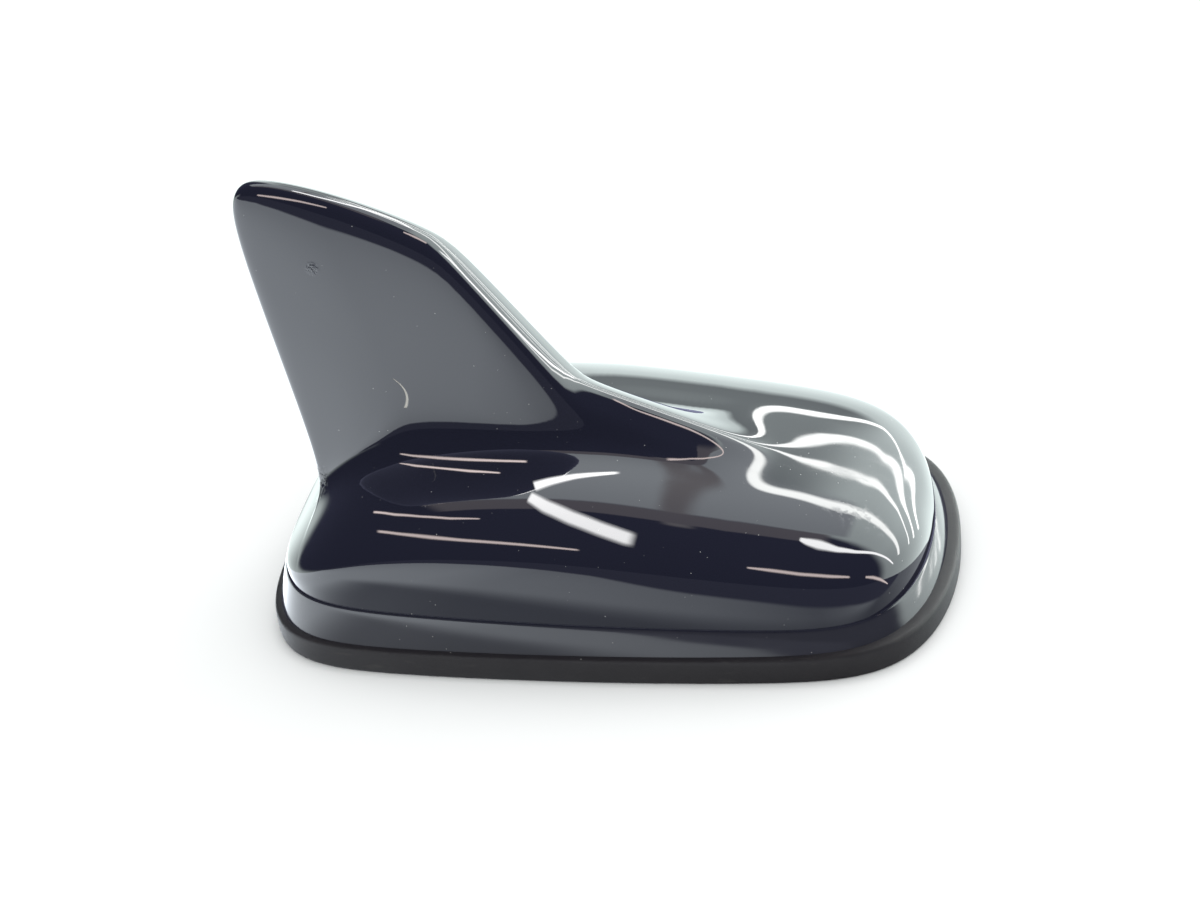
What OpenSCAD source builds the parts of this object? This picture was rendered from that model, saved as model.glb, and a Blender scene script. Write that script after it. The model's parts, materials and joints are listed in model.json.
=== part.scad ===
// Roof antenna: a rounded housing with a swept fin, on a gasket, with its
// board, its radiators, two sockets and the fixings below the roof plane.
// X points to the nose, Y to the left and Z up. Z is 0 on the underside of
// the gasket, and the stud stands on the Z axis.

/* [Outside] */
// Length of the gasket
gasket_length = 124; // [120:1:128]
// Width of the gasket
gasket_width = 72; // [70:1:74]
// Height of the fin's tip over the roof
tip_height = 78.8; // [76.8:0.2:80.8]
// Thickness of the gasket
gasket_height = 5; // [4.6:0.1:5.4]
// Backward lean of the fin, sideways travel over height
fin_lean = 0.26; // [0.22:0.01:0.3]

/* [Cover] */
// Half thickness of the fin's root
root_half = 8.4; // [8:0.1:9]
// Vertical thickness of the cover's roof
skin = 2.3; // [2:0.1:2.6]
// Depth of the groove between the dome and the band
groove_depth = 0.45; // [0.35:0.05:0.6]
// Free height between the plate and the cover's ledge
ledge_gap = 0.2; // [0.15:0.05:0.25]

/* [Plate and frame] */
// Thickness of the base plate
plate_thickness = 3; // [2.8:0.1:3.2]
// Depth of the plate's seat in the gasket
seat_depth = 2.5; // [2.3:0.1:2.7]
// Height of the standoffs under the board
standoff_height = 3; // [2.8:0.1:3.3]
// Height of the carrier frame's ring
carrier_height = 2; // [1.6:0.1:2]
// Height of the carrier frame's screw bosses
boss_height = 7; // [6.6:0.1:7.4]
// Width of the sealing cord
cord_width = 1.4; // [1.3:0.1:1.5]
// Depth of the cord's groove in the plate
cord_depth = 1; // [0.8:0.1:1.2]

/* [Board and radiators] */
// Thickness of the main board
board_thickness = 1.6; // [1.4:0.1:1.8]
// Length of the main board
board_length = 77; // [76:1:78]
// Width of the main board
board_width = 40; // [38:1:42]
// Side of the ceramic patch
patch_side = 25; // [24:1:26]
// Height of the ceramic patch
patch_height = 4; // [3.6:0.1:4.4]
// Thickness of the fin board
fin_board_thickness = 1.6; // [1.4:0.1:1.7]
// Thickness of the copper track
track_thickness = 0.3; // [0.25:0.05:0.35]
// Height of the phone radiator over the main board
blade_height = 13; // [12:0.5:14]

/* [Fixings] */
// Diameter of the roof stud
stud_diameter = 10; // [9.8:0.1:10.2]
// Reach of the stud below the roof plane
stud_reach = 22; // [21:0.5:23]
// Width of the nut over its flats
nut_flats = 17; // [16.5:0.1:17.5]
// Height of the nut's hexagon
nut_height = 6.5; // [6:0.1:7]
// Diameter of the nut's flange
nut_flange = 24; // [23:0.5:25]
// Depth of the centring collar below the roof plane
collar_depth = 3; // [2.8:0.1:3.2]
// Reach of the sockets below the roof plane
socket_reach = 14; // [13:0.5:15]
// Side of a socket's housing
socket_side = 10; // [9.8:0.1:10.2]

/* [Hidden] */
eps = 0.01;
// the outline's shape
waist = 0.09;
rear_power = 9;
rear_root = 3.1;
nose_power = 8.3;
nose_root = 1.97;
// the sizes at which the profile's points were laid out
drawn_length = 124;
drawn_tip = 78.8;
drawn_gasket = 5;
// insets of the outlines from the gasket's outline, on the side and at the nose
dome_in = [3.4, 4.4];
groove_in = [3.0, 4.0];
lip_in = [2.85, 3.85];
shoulder_in = [2.35, 3.3];
belly_in = [1.65, 2.6];
rim_in = [1.35, 2.3];
skirt_in = [3.75, 4.7];
cavity_in = [6.4, 7.4];
plate_in = [4, 4.95];
cord_in = [5.4, 6.35];
frame_in = [6.6, 7.6];
frame_width = 2.8;
moat_in = [8, 9];
moat_width = 2;
moat_depth = 0.8;
edge_in = 0.5;
edge_height = 0.7;
// clearances
seat_gap = 0.1;
slide_gap = 0.05;
bore_gap = 0.15;
window_gap = 0.2;
// heights of the groove at mid length and its fall over the whole length
groove_mid = 10.17;
groove_fall = 4.44;
// points of the fin's edge, along and up, at the drawn size
foot = [-54.3, 21];
tip = [-59.5, 71];
top_rear = [-50, 77.9];
top_front = [-30, 71.3];
lead_top = [-20, 61];
lead_foot = [-9.2, 46.4];
spine_rear = [0.2, 37.2];
spine_front = [25.9, 26.2];
// the height of the dome below each of those points
dome_under = [21, 26, 29.5, 29.7, 30, 30, 29.5, 25];
top_bow = 0.005;
flank_power = 5.5;
drawn_lean = 0.26;
// the dome's crown line
crown_mid = 30.3;
crown_rise = 0.02;
crown_front_a = [20, 26.3];
crown_front_b = [51, 20.9];
section_root = 2.9;
// stations along the cover, and columns over half a section
rear_steps = 5;
edge_steps = 14;
nose_steps = 38;
edge_from = 0.96;
edge_to = 0.72;
fin_cols = [0, 0.1, 0.2, 0.29, 0.37, 0.43, 0.48, 0.53, 0.58, 0.64, 0.72, 0.84, 1, 1.25, 1.6];
dome_cols = 9;
inner_fin_cols = [0, 0.3, 0.48, 0.6, 0.8, 1.3];
inner_dome_cols = 5;
inner_fin_share = 0.6;
skin_along = 1.4;
outline_steps = 60;
round_fn = 48;

// the plate's boss that reaches the roof sheet through the gasket
opening_rear = -32;
opening_front = 18;
opening_half = 15;
opening_round = 5;
boss_gap = 0.4;
boss_lift = 0.3;
// screws
screw_rear = -43;
screw_front = 39;
screw_shank = 3;
screw_head = 5.6;
screw_head_height = 1.6;
screw_bite = 1.5;
boss_diameter = 7;
board_screw_shank = 2.2;
board_screw_head = 4.4;
board_screw_height = 1.5;
board_screw_bite = 1.6;
standoff_diameter = 6;
board_inset = 3;
board_round = 2;
board_rear = -40;
slot_width = 0.7;
slot_depth = 0.7;
// the pieces on the board
patch_x = 23;
patch_feed = 2.5;
feed_diameter = 1;
feed_head = 1.8;
feed_head_height = 0.2;
can_x = [-33, -13];
can_depth = 9.5;
can_inset = 0.5;
can_height = 3.2;
can_wall = 0.3;
holder_box = [-34, -10, -4, 4];
holder_height = 7;
holder_floor = 1.2;
holder_windows = [-27, -17];
blade_box = [-33, -13];
blade_y = 9;
blade_sheet = 0.5;
blade_foot = 4;
spring_x = [-31.5, -28.5];
spring_sheet = 0.3;
spring_rise = 9.2;
feed_inset = 0.5;
// the fin board's edge from its foot round by the rear, at the drawn size
fin_board_edge = [
  [-37, 14], [-46, 20], [-50.5, 30], [-52.6, 45], [-54.2, 64], [-52.5, 69.5],
  [-46, 70.5], [-33, 66.8], [-27.5, 64], [-19, 52.5], [-10, 40], [-5, 34.5], [-5, 14]
];
track_width = 1.6;
track_low = 24;
track_step = 7.6;
track_rows = 6;
track_rear_a = [24, -45];
track_rear_b = [62, -51.5];
track_front_a = [24, -9];
track_front_b = [62, -30];
// the fixings
stud_flange = 16;
stud_flange_height = 2;
pilot_diameter = 8.5;
pilot_length = 6;
pilot_chamfer = 0.6;
collar_half = [11, 8];
claw_sheet = 1;
claw_half = [12, 8];
claw_leg_half = 4;
claw_reach = 3;
claw_rise = 2.2;
washer_height = 1.2;
washer_diameter = 21;
washer_teeth = 24;
tooth_depth = 0.8;
nut_flange_height = 2;
// the sockets
socket_x = -22;
socket_half_pitch = 6;
socket_bore = 7.2;
socket_floor = -3;
shell_diameter = 5;
shell_wall = 0.4;
shell_back = 1.5;
pin_diameter = 1;
pin_back = 2.5;
key_width = 1.4;
key_height = 0.8;
bond_gap = 0.02;

up = (tip_height - gasket_height) / (drawn_tip - drawn_gasket);
along = gasket_length / drawn_length;

function lift(z) = gasket_height + (z - drawn_gasket) * up;
function smin(a, b, r) = (a + b - sqrt((a - b) * (a - b) + r * r)) / 2;
function smax(a, b, r) = (a + b + sqrt((a - b) * (a - b) + r * r)) / 2;
function unit(t) = max(0, min(1, t));
function ease(t) = unit(t) * unit(t) * (3 - 2 * unit(t));
function on_line(s, p, q) = p[1] + (s - p[0]) * (q[1] - p[1]) / (q[0] - p[0]);
function upright(p, i) = [p[0] + drawn_lean * (p[1] - dome_under[i]), p[1]];
function end_cap(u, nr, mr, nn, mn) =
  pow(1 - pow(max(-u, 0), nr), 1 / mr) * pow(1 - pow(max(u, 0), nn), 1 / mn);
function half_width(u, b) =
  b * (1 - waist * u * u) * end_cap(u, rear_power, rear_root, nose_power, nose_root);

// an outline inset by in[0] on the sides and rear and by in[1] at the nose
function rear_x(in) = -gasket_length / 2 + in[0];
function nose_x(in) = gasket_length / 2 - in[1];
function x_at(in, u) = (rear_x(in) + nose_x(in)) / 2 + (nose_x(in) - rear_x(in)) / 2 * u;
function u_at(in, x) = (2 * x - rear_x(in) - nose_x(in)) / (nose_x(in) - rear_x(in));
function y_at(in, u) = half_width(u, gasket_width / 2 - in[0]);
function outline(in) = concat(
  [for (i = [0 : outline_steps]) let (u = -cos(180 * i / outline_steps)) [x_at(in, u), -y_at(in, u)]],
  [for (i = [outline_steps - 1 : -1 : 1]) let (u = -cos(180 * i / outline_steps)) [x_at(in, u), y_at(in, u)]]
);

// profile lines of the cover at the drawn size, over the unleaned position s
foot_s = upright(foot, 0);
tip_s = upright(tip, 1);
top_rear_s = upright(top_rear, 2);
top_front_s = upright(top_front, 3);
lead_top_s = upright(lead_top, 4);
lead_foot_s = upright(lead_foot, 5);
spine_rear_s = upright(spine_rear, 6);
spine_front_s = upright(spine_front, 7);
function top_edge(s) =
  on_line(s, top_rear_s, top_front_s) - top_bow * (s - top_rear_s[0]) * (s - top_front_s[0]);
function front_edge(s) =
  smax(on_line(s, lead_top_s, lead_foot_s), on_line(s, spine_rear_s, spine_front_s), 3);
function ridge(s) = smin(smin(front_edge(s), top_edge(s), 4.5), on_line(s, foot_s, tip_s), 7);
function crown(s) =
  smin(crown_mid + crown_rise * (s + 10), on_line(s, crown_front_a, crown_front_b), 2);
function flank(s) = root_half * (0.42 + 0.58 * ease((s + 56) / 20))
  - ease((s + 12) / 20) + 5 * ease((s - 14) / 26);

function groove_z(x) = lift(groove_mid - groove_fall * x / gasket_length);
function dome_cap(u) = end_cap(u, 4.6, 0.9, 8.3, 1.97);
function fin_cap(u) = end_cap(u, 40, 1, 40, 1);
function fin_bump(y, a, f) =
  a / sqrt(pow(1 + y * y / (f * a), 2) + pow(a * pow(y / f, flank_power), 2));
function arch(y, b) = pow(max(0, 1 - pow(min(1, y / b), 4)), 1 / section_root);

// half a section of the outer skin from the middle outwards, as [x, y, z]
function column_ys(cols, n, f, b) = concat(
  [for (t = cols) t * f],
  [for (i = [1 : n]) b - (b - cols[len(cols) - 1] * f) * pow(1 - i / n, 2.4)]
);
function skin_points(x, b, zg, h, a, f, cols, n) =
  [for (y = column_ys(cols, n, f, b))
    let (bump = fin_bump(y, a, f) * arch(y, b))
    [x - fin_lean * bump, y, zg + h * arch(y, b) + bump]];
function outer_half(u) =
  let (x = x_at(dome_in, u), s = x / along, zg = groove_z(x),
    b = max(y_at(dome_in, u), 0.0001),
    h = (lift(crown(s)) - zg) * dome_cap(u),
    a = max(smax(lift(ridge(s)) - zg - h, 0, 1) * fin_cap(u), 0.000001),
    f = min(flank(s), b / 2.2))
  concat(
    skin_points(x, b, zg, h, a, f, fin_cols, dome_cols),
    [
      [x_at(dome_in, u), y_at(dome_in, u), zg - groove_depth],
      [x_at(groove_in, u), y_at(groove_in, u), zg - groove_depth],
      [x_at(lip_in, u), y_at(lip_in, u), zg],
      [x_at(shoulder_in, u), y_at(shoulder_in, u), zg - 0.3],
      [x_at(belly_in, u), y_at(belly_in, u), gasket_height + 0.42 * (zg - gasket_height)],
      [x_at(rim_in, u), y_at(rim_in, u), gasket_height]
    ]
  );
plate_top = gasket_height - seat_depth + plate_thickness;
ledge_z = plate_top + ledge_gap;
function inner_half(u) =
  let (x = x_at(cavity_in, u), s = x / along, zg = groove_z(x) - 0.3,
    b = max(y_at(cavity_in, u), 0.0001),
    h = (lift(crown(s)) - skin - zg) * dome_cap(u),
    r = min(lift(ridge(s - skin_along)), lift(ridge(s + skin_along))) - skin + 0.3,
    a = max(smax(r - zg - h, 0, 1) * fin_cap(u), 0.000001),
    f = min(inner_fin_share * flank(s), b / 2.2))
  concat(
    skin_points(x, b, zg, h, a, f, inner_fin_cols, inner_dome_cols),
    [
      [x_at(cavity_in, u), y_at(cavity_in, u), ledge_z],
      [x_at(skirt_in, u), y_at(skirt_in, u), ledge_z],
      [x_at(skirt_in, u), y_at(skirt_in, u), gasket_height]
    ]
  );

outer_n = len(fin_cols) + dome_cols + 6;
outer_foot = len(fin_cols) + dome_cols - 1;
inner_n = len(inner_fin_cols) + inner_dome_cols + 3;
inner_foot = len(inner_fin_cols) + inner_dome_cols - 1;
loop_n = 2 * outer_n - 1 + 2 * inner_n - 1;
stations = concat(
  [for (i = [0 : rear_steps - 1]) -cos(acos(edge_from) * i / rear_steps)],
  [for (i = [0 : edge_steps - 1]) -edge_from + (edge_from - edge_to) * i / edge_steps],
  [for (i = [0 : nose_steps]) -cos(acos(edge_to) + (180 - acos(edge_to)) * i / nose_steps)]
);
last = len(stations) - 1;

function mirrored(p) = [p[0], -p[1], p[2]];
function loop_of(u) = let (o = outer_half(u), n = inner_half(u)) concat(
  [for (j = [outer_n - 1 : -1 : 1]) mirrored(o[j])],
  o,
  [for (j = [inner_n - 1 : -1 : 1]) n[j]],
  [for (j = [0 : inner_n - 1]) mirrored(n[j])]
);
// at the two ends the left and the right half of a section are one line
function outer_home(j) = max(j, outer_foot) + outer_n - 1;
function inner_home(j) = 2 * outer_n - 1 + inner_n - 1 - max(j, inner_foot);
function home(k) =
  k < 2 * outer_n - 1 ? outer_home(abs(k - outer_n + 1))
  : inner_home(abs(k - (2 * outer_n - 1) - (inner_n - 1)));
function at(i, k) = i * loop_n + ((i == 0 || i == last) ? home(k % loop_n) : k % loop_n);
function whole(t) = t[0] != t[1] && t[1] != t[2] && t[0] != t[2];

module cover() {
  points = [for (u = stations) each loop_of(u)];
  faces = [
    for (i = [0 : last - 1])
      for (k = [0 : loop_n - 1])
        for (t = [
          [at(i, k), at(i, k + 1), at(i + 1, k + 1)],
          [at(i, k), at(i + 1, k + 1), at(i + 1, k)]
        ])
          if (whole(t)) t
  ];
  color("black") polyhedron(points = points, faces = faces, convexity = 8);
}

module prism(points, z0, z1) {
  translate([0, 0, z0]) linear_extrude(height = z1 - z0) polygon(points);
}
module rod(x, y, d, z0, z1) {
  translate([x, y, z0]) cylinder(d = d, h = z1 - z0, $fn = round_fn);
}
module slab(x0, x1, y0, y1, z0, z1) {
  translate([x0, y0, z0]) cube([x1 - x0, y1 - y0, z1 - z0]);
}
module soft_slab(x0, x1, y0, y1, z0, z1, r) {
  union() {
    slab(x0 + r, x1 - r, y0, y1, z0, z1);
    slab(x0, x1, y0 + r, y1 - r, z0, z1);
    for (x = [x0 + r, x1 - r])
      for (y = [y0 + r, y1 - r])
        rod(x, y, 2 * r, z0, z1);
  }
}
function inset(in, more) = [in[0] + more, in[1] + more];
module ring(in, width, z0, z1) {
  difference() {
    prism(outline(in), z0, z1);
    prism(outline(inset(in, width)), z0 - 1, z1 + 1);
  }
}

plate_low = gasket_height - seat_depth;
board_low = plate_top + standoff_height;
board_top = board_low + board_thickness;
board_front = board_rear + board_length;
board_screw_x = [board_rear + board_inset, board_front - board_inset];
board_screw_y = board_width / 2 - board_inset;
screw_in = inset(frame_in, frame_width + 1);
function screw_y(x) = y_at(screw_in, u_at(screw_in, x));

module base_gasket() {
  color([0.12, 0.11, 0.1]) difference() {
    union() {
      prism(outline([0, 0]), 0, gasket_height - edge_height);
      prism(outline([edge_in, edge_in]), gasket_height - edge_height - eps, gasket_height);
    }
    prism(outline(inset(plate_in, -seat_gap)), plate_low, gasket_height + 1);
    soft_slab(opening_rear, opening_front, -opening_half, opening_half, -1, gasket_height, opening_round);
    ring(moat_in, moat_width, -1, moat_depth);
  }
}

module base_plate() {
  color([0.7, 0.71, 0.73]) difference() {
    union() {
      prism(outline(plate_in), plate_low, plate_top);
      soft_slab(opening_rear + boss_gap, opening_front - boss_gap, boss_gap - opening_half,
        opening_half - boss_gap, boss_lift, plate_top - 1, opening_round - boss_gap);
      for (x = board_screw_x)
        for (y = [-board_screw_y, board_screw_y])
          rod(x, y, standoff_diameter, plate_top - 1, board_low);
    }
    ring(inset(cord_in, -cord_width / 2 - slide_gap), cord_width + 2 * slide_gap, plate_top - cord_depth, plate_top + 1);
    for (x = [screw_rear, screw_front])
      for (y = [-screw_y(x), screw_y(x)]) {
        rod(x, y, screw_head + 2 * bore_gap, plate_low - 1, plate_low + screw_head_height);
        rod(x, y, screw_shank + 2 * bore_gap, plate_low - 1, plate_top + 1);
      }
    for (x = board_screw_x)
      for (y = [-board_screw_y, board_screw_y])
        rod(x, y, board_screw_shank + 2 * slide_gap, plate_low + 1, board_low + 1);
    rod(0, 0, stud_diameter + 2 * slide_gap, -1, plate_top + 1);
    for (y = [-socket_half_pitch, socket_half_pitch])
      slab(socket_x - socket_side / 2 - window_gap, socket_x + socket_side / 2 + window_gap,
        y - socket_side / 2 - window_gap, y + socket_side / 2 + window_gap, -1, plate_top + 1);
  }
}

module cover_seal() {
  color([0.2, 0.2, 0.2]) ring(inset(cord_in, -cord_width / 2), cord_width, plate_top - cord_depth, ledge_z);
}

module cover_carrier() {
  color([0.25, 0.25, 0.27]) difference() {
    union() {
      ring(frame_in, frame_width, plate_top, plate_top + carrier_height);
      for (x = [screw_rear, screw_front])
        for (y = [-screw_y(x), screw_y(x)])
          rod(x, y, boss_diameter, plate_top, plate_top + boss_height);
    }
    for (x = [screw_rear, screw_front])
      for (y = [-screw_y(x), screw_y(x)])
        rod(x, y, screw_shank + 2 * slide_gap, plate_top - 1, plate_top + boss_height - screw_bite + 0.3);
  }
}

module cross_slot(x, y, z0, z1) {
  half = 1.5;
  slab(x - half, x + half, y - slot_width / 2, y + slot_width / 2, z0, z1);
  slab(x - slot_width / 2, x + slot_width / 2, y - half, y + half, z0, z1);
}

module cover_screws() {
  color([0.8, 0.8, 0.82])
    for (x = [screw_rear, screw_front])
      for (y = [-screw_y(x), screw_y(x)])
        difference() {
          union() {
            rod(x, y, screw_head, plate_low, plate_low + screw_head_height);
            rod(x, y, screw_shank, plate_low + screw_head_height - eps, plate_top + boss_height - screw_bite);
          }
          cross_slot(x, y, plate_low - 1, plate_low + slot_depth);
        }
}

module main_board() {
  color([0.05, 0.3, 0.15]) difference() {
    soft_slab(board_rear, board_front, -board_width / 2, board_width / 2, board_low, board_top, board_round);
    for (x = board_screw_x)
      for (y = [-board_screw_y, board_screw_y])
        rod(x, y, board_screw_shank + 2 * bore_gap, board_low - 1, board_top + 1);
    rod(patch_x - patch_feed, 0, feed_diameter + 2 * slide_gap, board_low - 1, board_top + 1);
  }
}

module board_screws() {
  color([0.8, 0.8, 0.82])
    for (x = board_screw_x)
      for (y = [-board_screw_y, board_screw_y])
        difference() {
          union() {
            rod(x, y, board_screw_head, board_top, board_top + board_screw_height);
            rod(x, y, board_screw_shank, plate_low + board_screw_bite, board_top + eps);
          }
          cross_slot(x, y, board_top + board_screw_height - slot_depth, board_top + board_screw_height + 1);
        }
}

can_box = [can_x[0], can_x[1], can_inset - board_width / 2, can_inset + can_depth - board_width / 2];
module shield_can() {
  color([0.75, 0.75, 0.72]) difference() {
    slab(can_box[0], can_box[1], can_box[2], can_box[3], board_top, board_top + can_height);
    slab(can_box[0] + can_wall, can_box[1] - can_wall, can_box[2] + can_wall, can_box[3] - can_wall,
      board_top - 1, board_top + can_height - can_wall);
    for (i = [-3 : 3])
      for (j = [-1, 1])
        rod((can_box[0] + can_box[1]) / 2 + i * 2.6, (can_box[2] + can_box[3]) / 2 + j * 1.5, 1.2,
          board_top, board_top + can_height + 1);
  }
}

module gps_patch() {
  color([0.85, 0.8, 0.7]) difference() {
    slab(patch_x - patch_side / 2, patch_x + patch_side / 2, -patch_side / 2, patch_side / 2,
      board_top, board_top + patch_height);
    rod(patch_x - patch_feed, 0, feed_diameter + 2 * slide_gap, board_top - 1, board_top + patch_height + 1);
  }
}

module gps_feed_pin() {
  color([0.8, 0.65, 0.3]) union() {
    rod(patch_x - patch_feed, 0, feed_diameter, board_low - 0.5, board_top + patch_height + eps);
    rod(patch_x - patch_feed, 0, feed_head, board_top + patch_height, board_top + patch_height + feed_head_height);
  }
}

// a flat piece that stands in the X-Z plane, between y0 and y1
module upright_sheet(points, y0, y1) {
  translate([0, y1, 0]) rotate([90, 0, 0]) linear_extrude(height = y1 - y0) polygon(points);
}

fin_board_low = board_top + holder_floor;
module fin_board() {
  edge = [for (p = fin_board_edge) [p[0] * along, lift(p[1])]];
  tail = [[holder_box[1] + 1, fin_board_low], [holder_box[0] - 1, fin_board_low]];
  color([0.1, 0.35, 0.2])
    upright_sheet(concat(edge, tail), -fin_board_thickness / 2, fin_board_thickness / 2);
}

function track_z(i) = lift(track_low + i * track_step);
function track_rear(i) = along * on_line(track_low + i * track_step, track_rear_a, track_rear_b);
function track_front(i) = along * on_line(track_low + i * track_step, track_front_a, track_front_b);
module fin_radiator() {
  face = -fin_board_thickness / 2;
  back = face - track_thickness;
  color([0.8, 0.45, 0.25]) union() {
    slab(spring_x[0] + feed_inset, spring_x[1] - feed_inset, back, face, board_top + holder_height + 0.5, track_z(0));
    for (i = [0 : track_rows - 1])
      slab(track_rear(i), track_front(i), back, face, track_z(i) - track_width / 2, track_z(i) + track_width / 2);
    for (i = [0 : 2 : track_rows - 2])
      slab(track_front(i + 1) - track_width, track_front(i + 1), back, face, track_z(i), track_z(i + 1));
    for (i = [1 : 2 : track_rows - 2])
      slab(track_rear(i), track_rear(i) + track_width, back, face, track_z(i), track_z(i + 1));
  }
}

module fin_holder() {
  slot = fin_board_thickness / 2 + slide_gap;
  color([0.85, 0.85, 0.8]) difference() {
    slab(holder_box[0], holder_box[1], holder_box[2], holder_box[3], board_top, board_top + holder_height);
    slab(holder_box[0] - 5, holder_box[1] + 5, -slot, slot, fin_board_low, board_top + holder_height + 1);
    for (x = holder_windows)
      for (y = [holder_box[2] - 1, holder_box[3] - 1.2])
        slab(x - 2, x + 2, y, y + 2.2, board_top + 2, board_top + holder_height - 1.5);
  }
}

module contact_spring() {
  t = spring_sheet;
  touch = -fin_board_thickness / 2 - track_thickness;
  bend = holder_box[2] - 0.6;
  points = [
    [bend - 4.4, board_top], [bend, board_top], [bend, board_top + holder_height + 0.7],
    [touch, board_top + spring_rise], [touch, board_top + spring_rise + 0.8],
    [touch - t, board_top + spring_rise + 0.8], [touch - t, board_top + spring_rise + 0.2],
    [bend - t, board_top + holder_height + 1], [bend - t, board_top + t], [bend - 4.4, board_top + t]
  ];
  color([0.8, 0.68, 0.4]) translate([spring_x[0], 0, 0]) rotate([90, 0, 90])
    linear_extrude(height = spring_x[1] - spring_x[0]) polygon(points);
}

module phone_blade() {
  top = board_top + blade_height;
  color([0.8, 0.8, 0.78]) union() {
    difference() {
      slab(blade_box[0], blade_box[1], blade_y, blade_y + blade_sheet, board_top, top);
      slab(blade_box[0] + 4, blade_box[1] - 4, blade_y - 1, blade_y + 1, top - 6, top - 4);
      slab(blade_box[0] + 9, blade_box[0] + 11, blade_y - 1, blade_y + 1, board_top + 3, top - 5);
    }
    slab(blade_box[0], blade_box[0] + 5, blade_y, blade_y + blade_foot, board_top, board_top + blade_sheet);
    slab(blade_box[1] - 5, blade_box[1], blade_y, blade_y + blade_foot, board_top, board_top + blade_sheet);
  }
}

module roof_stud() {
  color([0.78, 0.78, 0.75]) union() {
    rod(0, 0, stud_flange, plate_top, plate_top + stud_flange_height);
    rod(0, 0, stud_diameter, pilot_length - stud_reach, plate_top + eps);
    rod(0, 0, pilot_diameter, pilot_chamfer - stud_reach, pilot_length - stud_reach + eps);
    translate([0, 0, -stud_reach])
      cylinder(d1 = pilot_diameter - 2 * pilot_chamfer, d2 = pilot_diameter, h = pilot_chamfer, $fn = round_fn);
  }
}

module centring_collar() {
  r = collar_half[1];
  x = collar_half[0] - r;
  color([0.15, 0.15, 0.16]) difference() {
    union() {
      slab(-x, x, -r, r, -collar_depth, boss_lift);
      rod(-x, 0, 2 * r, -collar_depth, boss_lift);
      rod(x, 0, 2 * r, -collar_depth, boss_lift);
    }
    rod(0, 0, stud_diameter + 2 * bore_gap, -collar_depth - 1, boss_lift + 1);
  }
}

claw_top = -collar_depth;
claw_low = claw_top - claw_sheet;
module retaining_claw() {
  x = claw_half[0];
  leg = [
    [x - 1, claw_low], [x, claw_low], [x + claw_reach + 0.5, claw_top + claw_rise - 0.4],
    [x + claw_reach, claw_top + claw_rise], [x - 0.4, claw_top], [x - 1, claw_top]
  ];
  color([0.7, 0.7, 0.66]) difference() {
    union() {
      slab(-x, x, -claw_half[1], claw_half[1], claw_low, claw_top);
      upright_sheet(leg, -claw_leg_half, claw_leg_half);
      upright_sheet([for (p = leg) [-p[0], p[1]]], -claw_leg_half, claw_leg_half);
    }
    rod(0, 0, stud_diameter + 2 * bore_gap, claw_low - 1, claw_top + 1);
  }
}

washer_low = claw_low - washer_height;
module ground_washer() {
  star = [for (i = [0 : 2 * washer_teeth - 1])
    let (r = washer_diameter / 2 - (i % 2) * tooth_depth, a = 180 * i / washer_teeth)
    [r * cos(a), r * sin(a)]];
  color([0.76, 0.74, 0.68]) difference() {
    prism(star, washer_low, claw_low);
    rod(0, 0, stud_diameter + 2 * bore_gap, washer_low - 1, claw_low + 1);
  }
}

module flange_nut() {
  flange_low = washer_low - nut_flange_height;
  color([0.78, 0.78, 0.76]) difference() {
    union() {
      rod(0, 0, nut_flange, flange_low, washer_low);
      translate([0, 0, flange_low - nut_height])
        cylinder(d = nut_flats / cos(30), h = nut_height + eps, $fn = 6);
    }
    rod(0, 0, stud_diameter + 2 * slide_gap, flange_low - nut_height - 1, washer_low + 1);
  }
}

module socket(y, keys) {
  half = socket_side / 2;
  difference() {
    union() {
      slab(socket_x - half, socket_x + half, y - half, y + half, -socket_reach, board_low);
      for (k = keys)
        slab(socket_x - half - key_height, socket_x - half + eps, y + k - key_width / 2,
          y + k + key_width / 2, -socket_reach, socket_floor - 1);
    }
    rod(socket_x, y, socket_bore, -socket_reach - 1, socket_floor);
    rod(socket_x, y, shell_diameter + 2 * slide_gap, socket_floor - 1, board_low + 1);
  }
}
module socket_left() {
  color([0.1, 0.25, 0.6]) socket(socket_half_pitch, [-3, 2]);
}
module socket_right() {
  color([0.1, 0.1, 0.1]) socket(-socket_half_pitch, [-2, 0, 3]);
}
module socket_shells() {
  color([0.85, 0.75, 0.45])
    for (y = [-socket_half_pitch, socket_half_pitch])
      difference() {
        rod(socket_x, y, shell_diameter, shell_back - socket_reach, board_low);
        rod(socket_x, y, shell_diameter - 2 * shell_wall, shell_back - socket_reach - 1, board_low + 1);
      }
}
module socket_insulators() {
  color([0.95, 0.95, 0.93])
    for (y = [-socket_half_pitch, socket_half_pitch])
      difference() {
        rod(socket_x, y, shell_diameter - 2 * shell_wall - 2 * bond_gap, socket_floor, board_low);
        rod(socket_x, y, pin_diameter + 2 * bond_gap, socket_floor - 1, board_low + 1);
      }
}
module socket_pins() {
  color([0.85, 0.7, 0.35])
    for (y = [-socket_half_pitch, socket_half_pitch])
      rod(socket_x, y, pin_diameter, pin_back - socket_reach, board_low);
}

cover();
base_gasket();
base_plate();
cover_seal();
cover_carrier();
cover_screws();
main_board();
board_screws();
shield_can();
gps_patch();
gps_feed_pin();
fin_board();
fin_radiator();
fin_holder();
contact_spring();
phone_blade();
roof_stud();
centring_collar();
retaining_claw();
ground_washer();
flange_nut();
socket_left();
socket_right();
socket_shells();
socket_insulators();
socket_pins();
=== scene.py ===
"""Looks of the roof antenna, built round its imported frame.

Lengths in the shape functions are millimetres, in the frame of the part: X to the nose, Y to the
left, Z up, and Z = 0 on the gasket's underside. A mesh is scaled to metres when it is made.
"""

import json
import math

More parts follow.
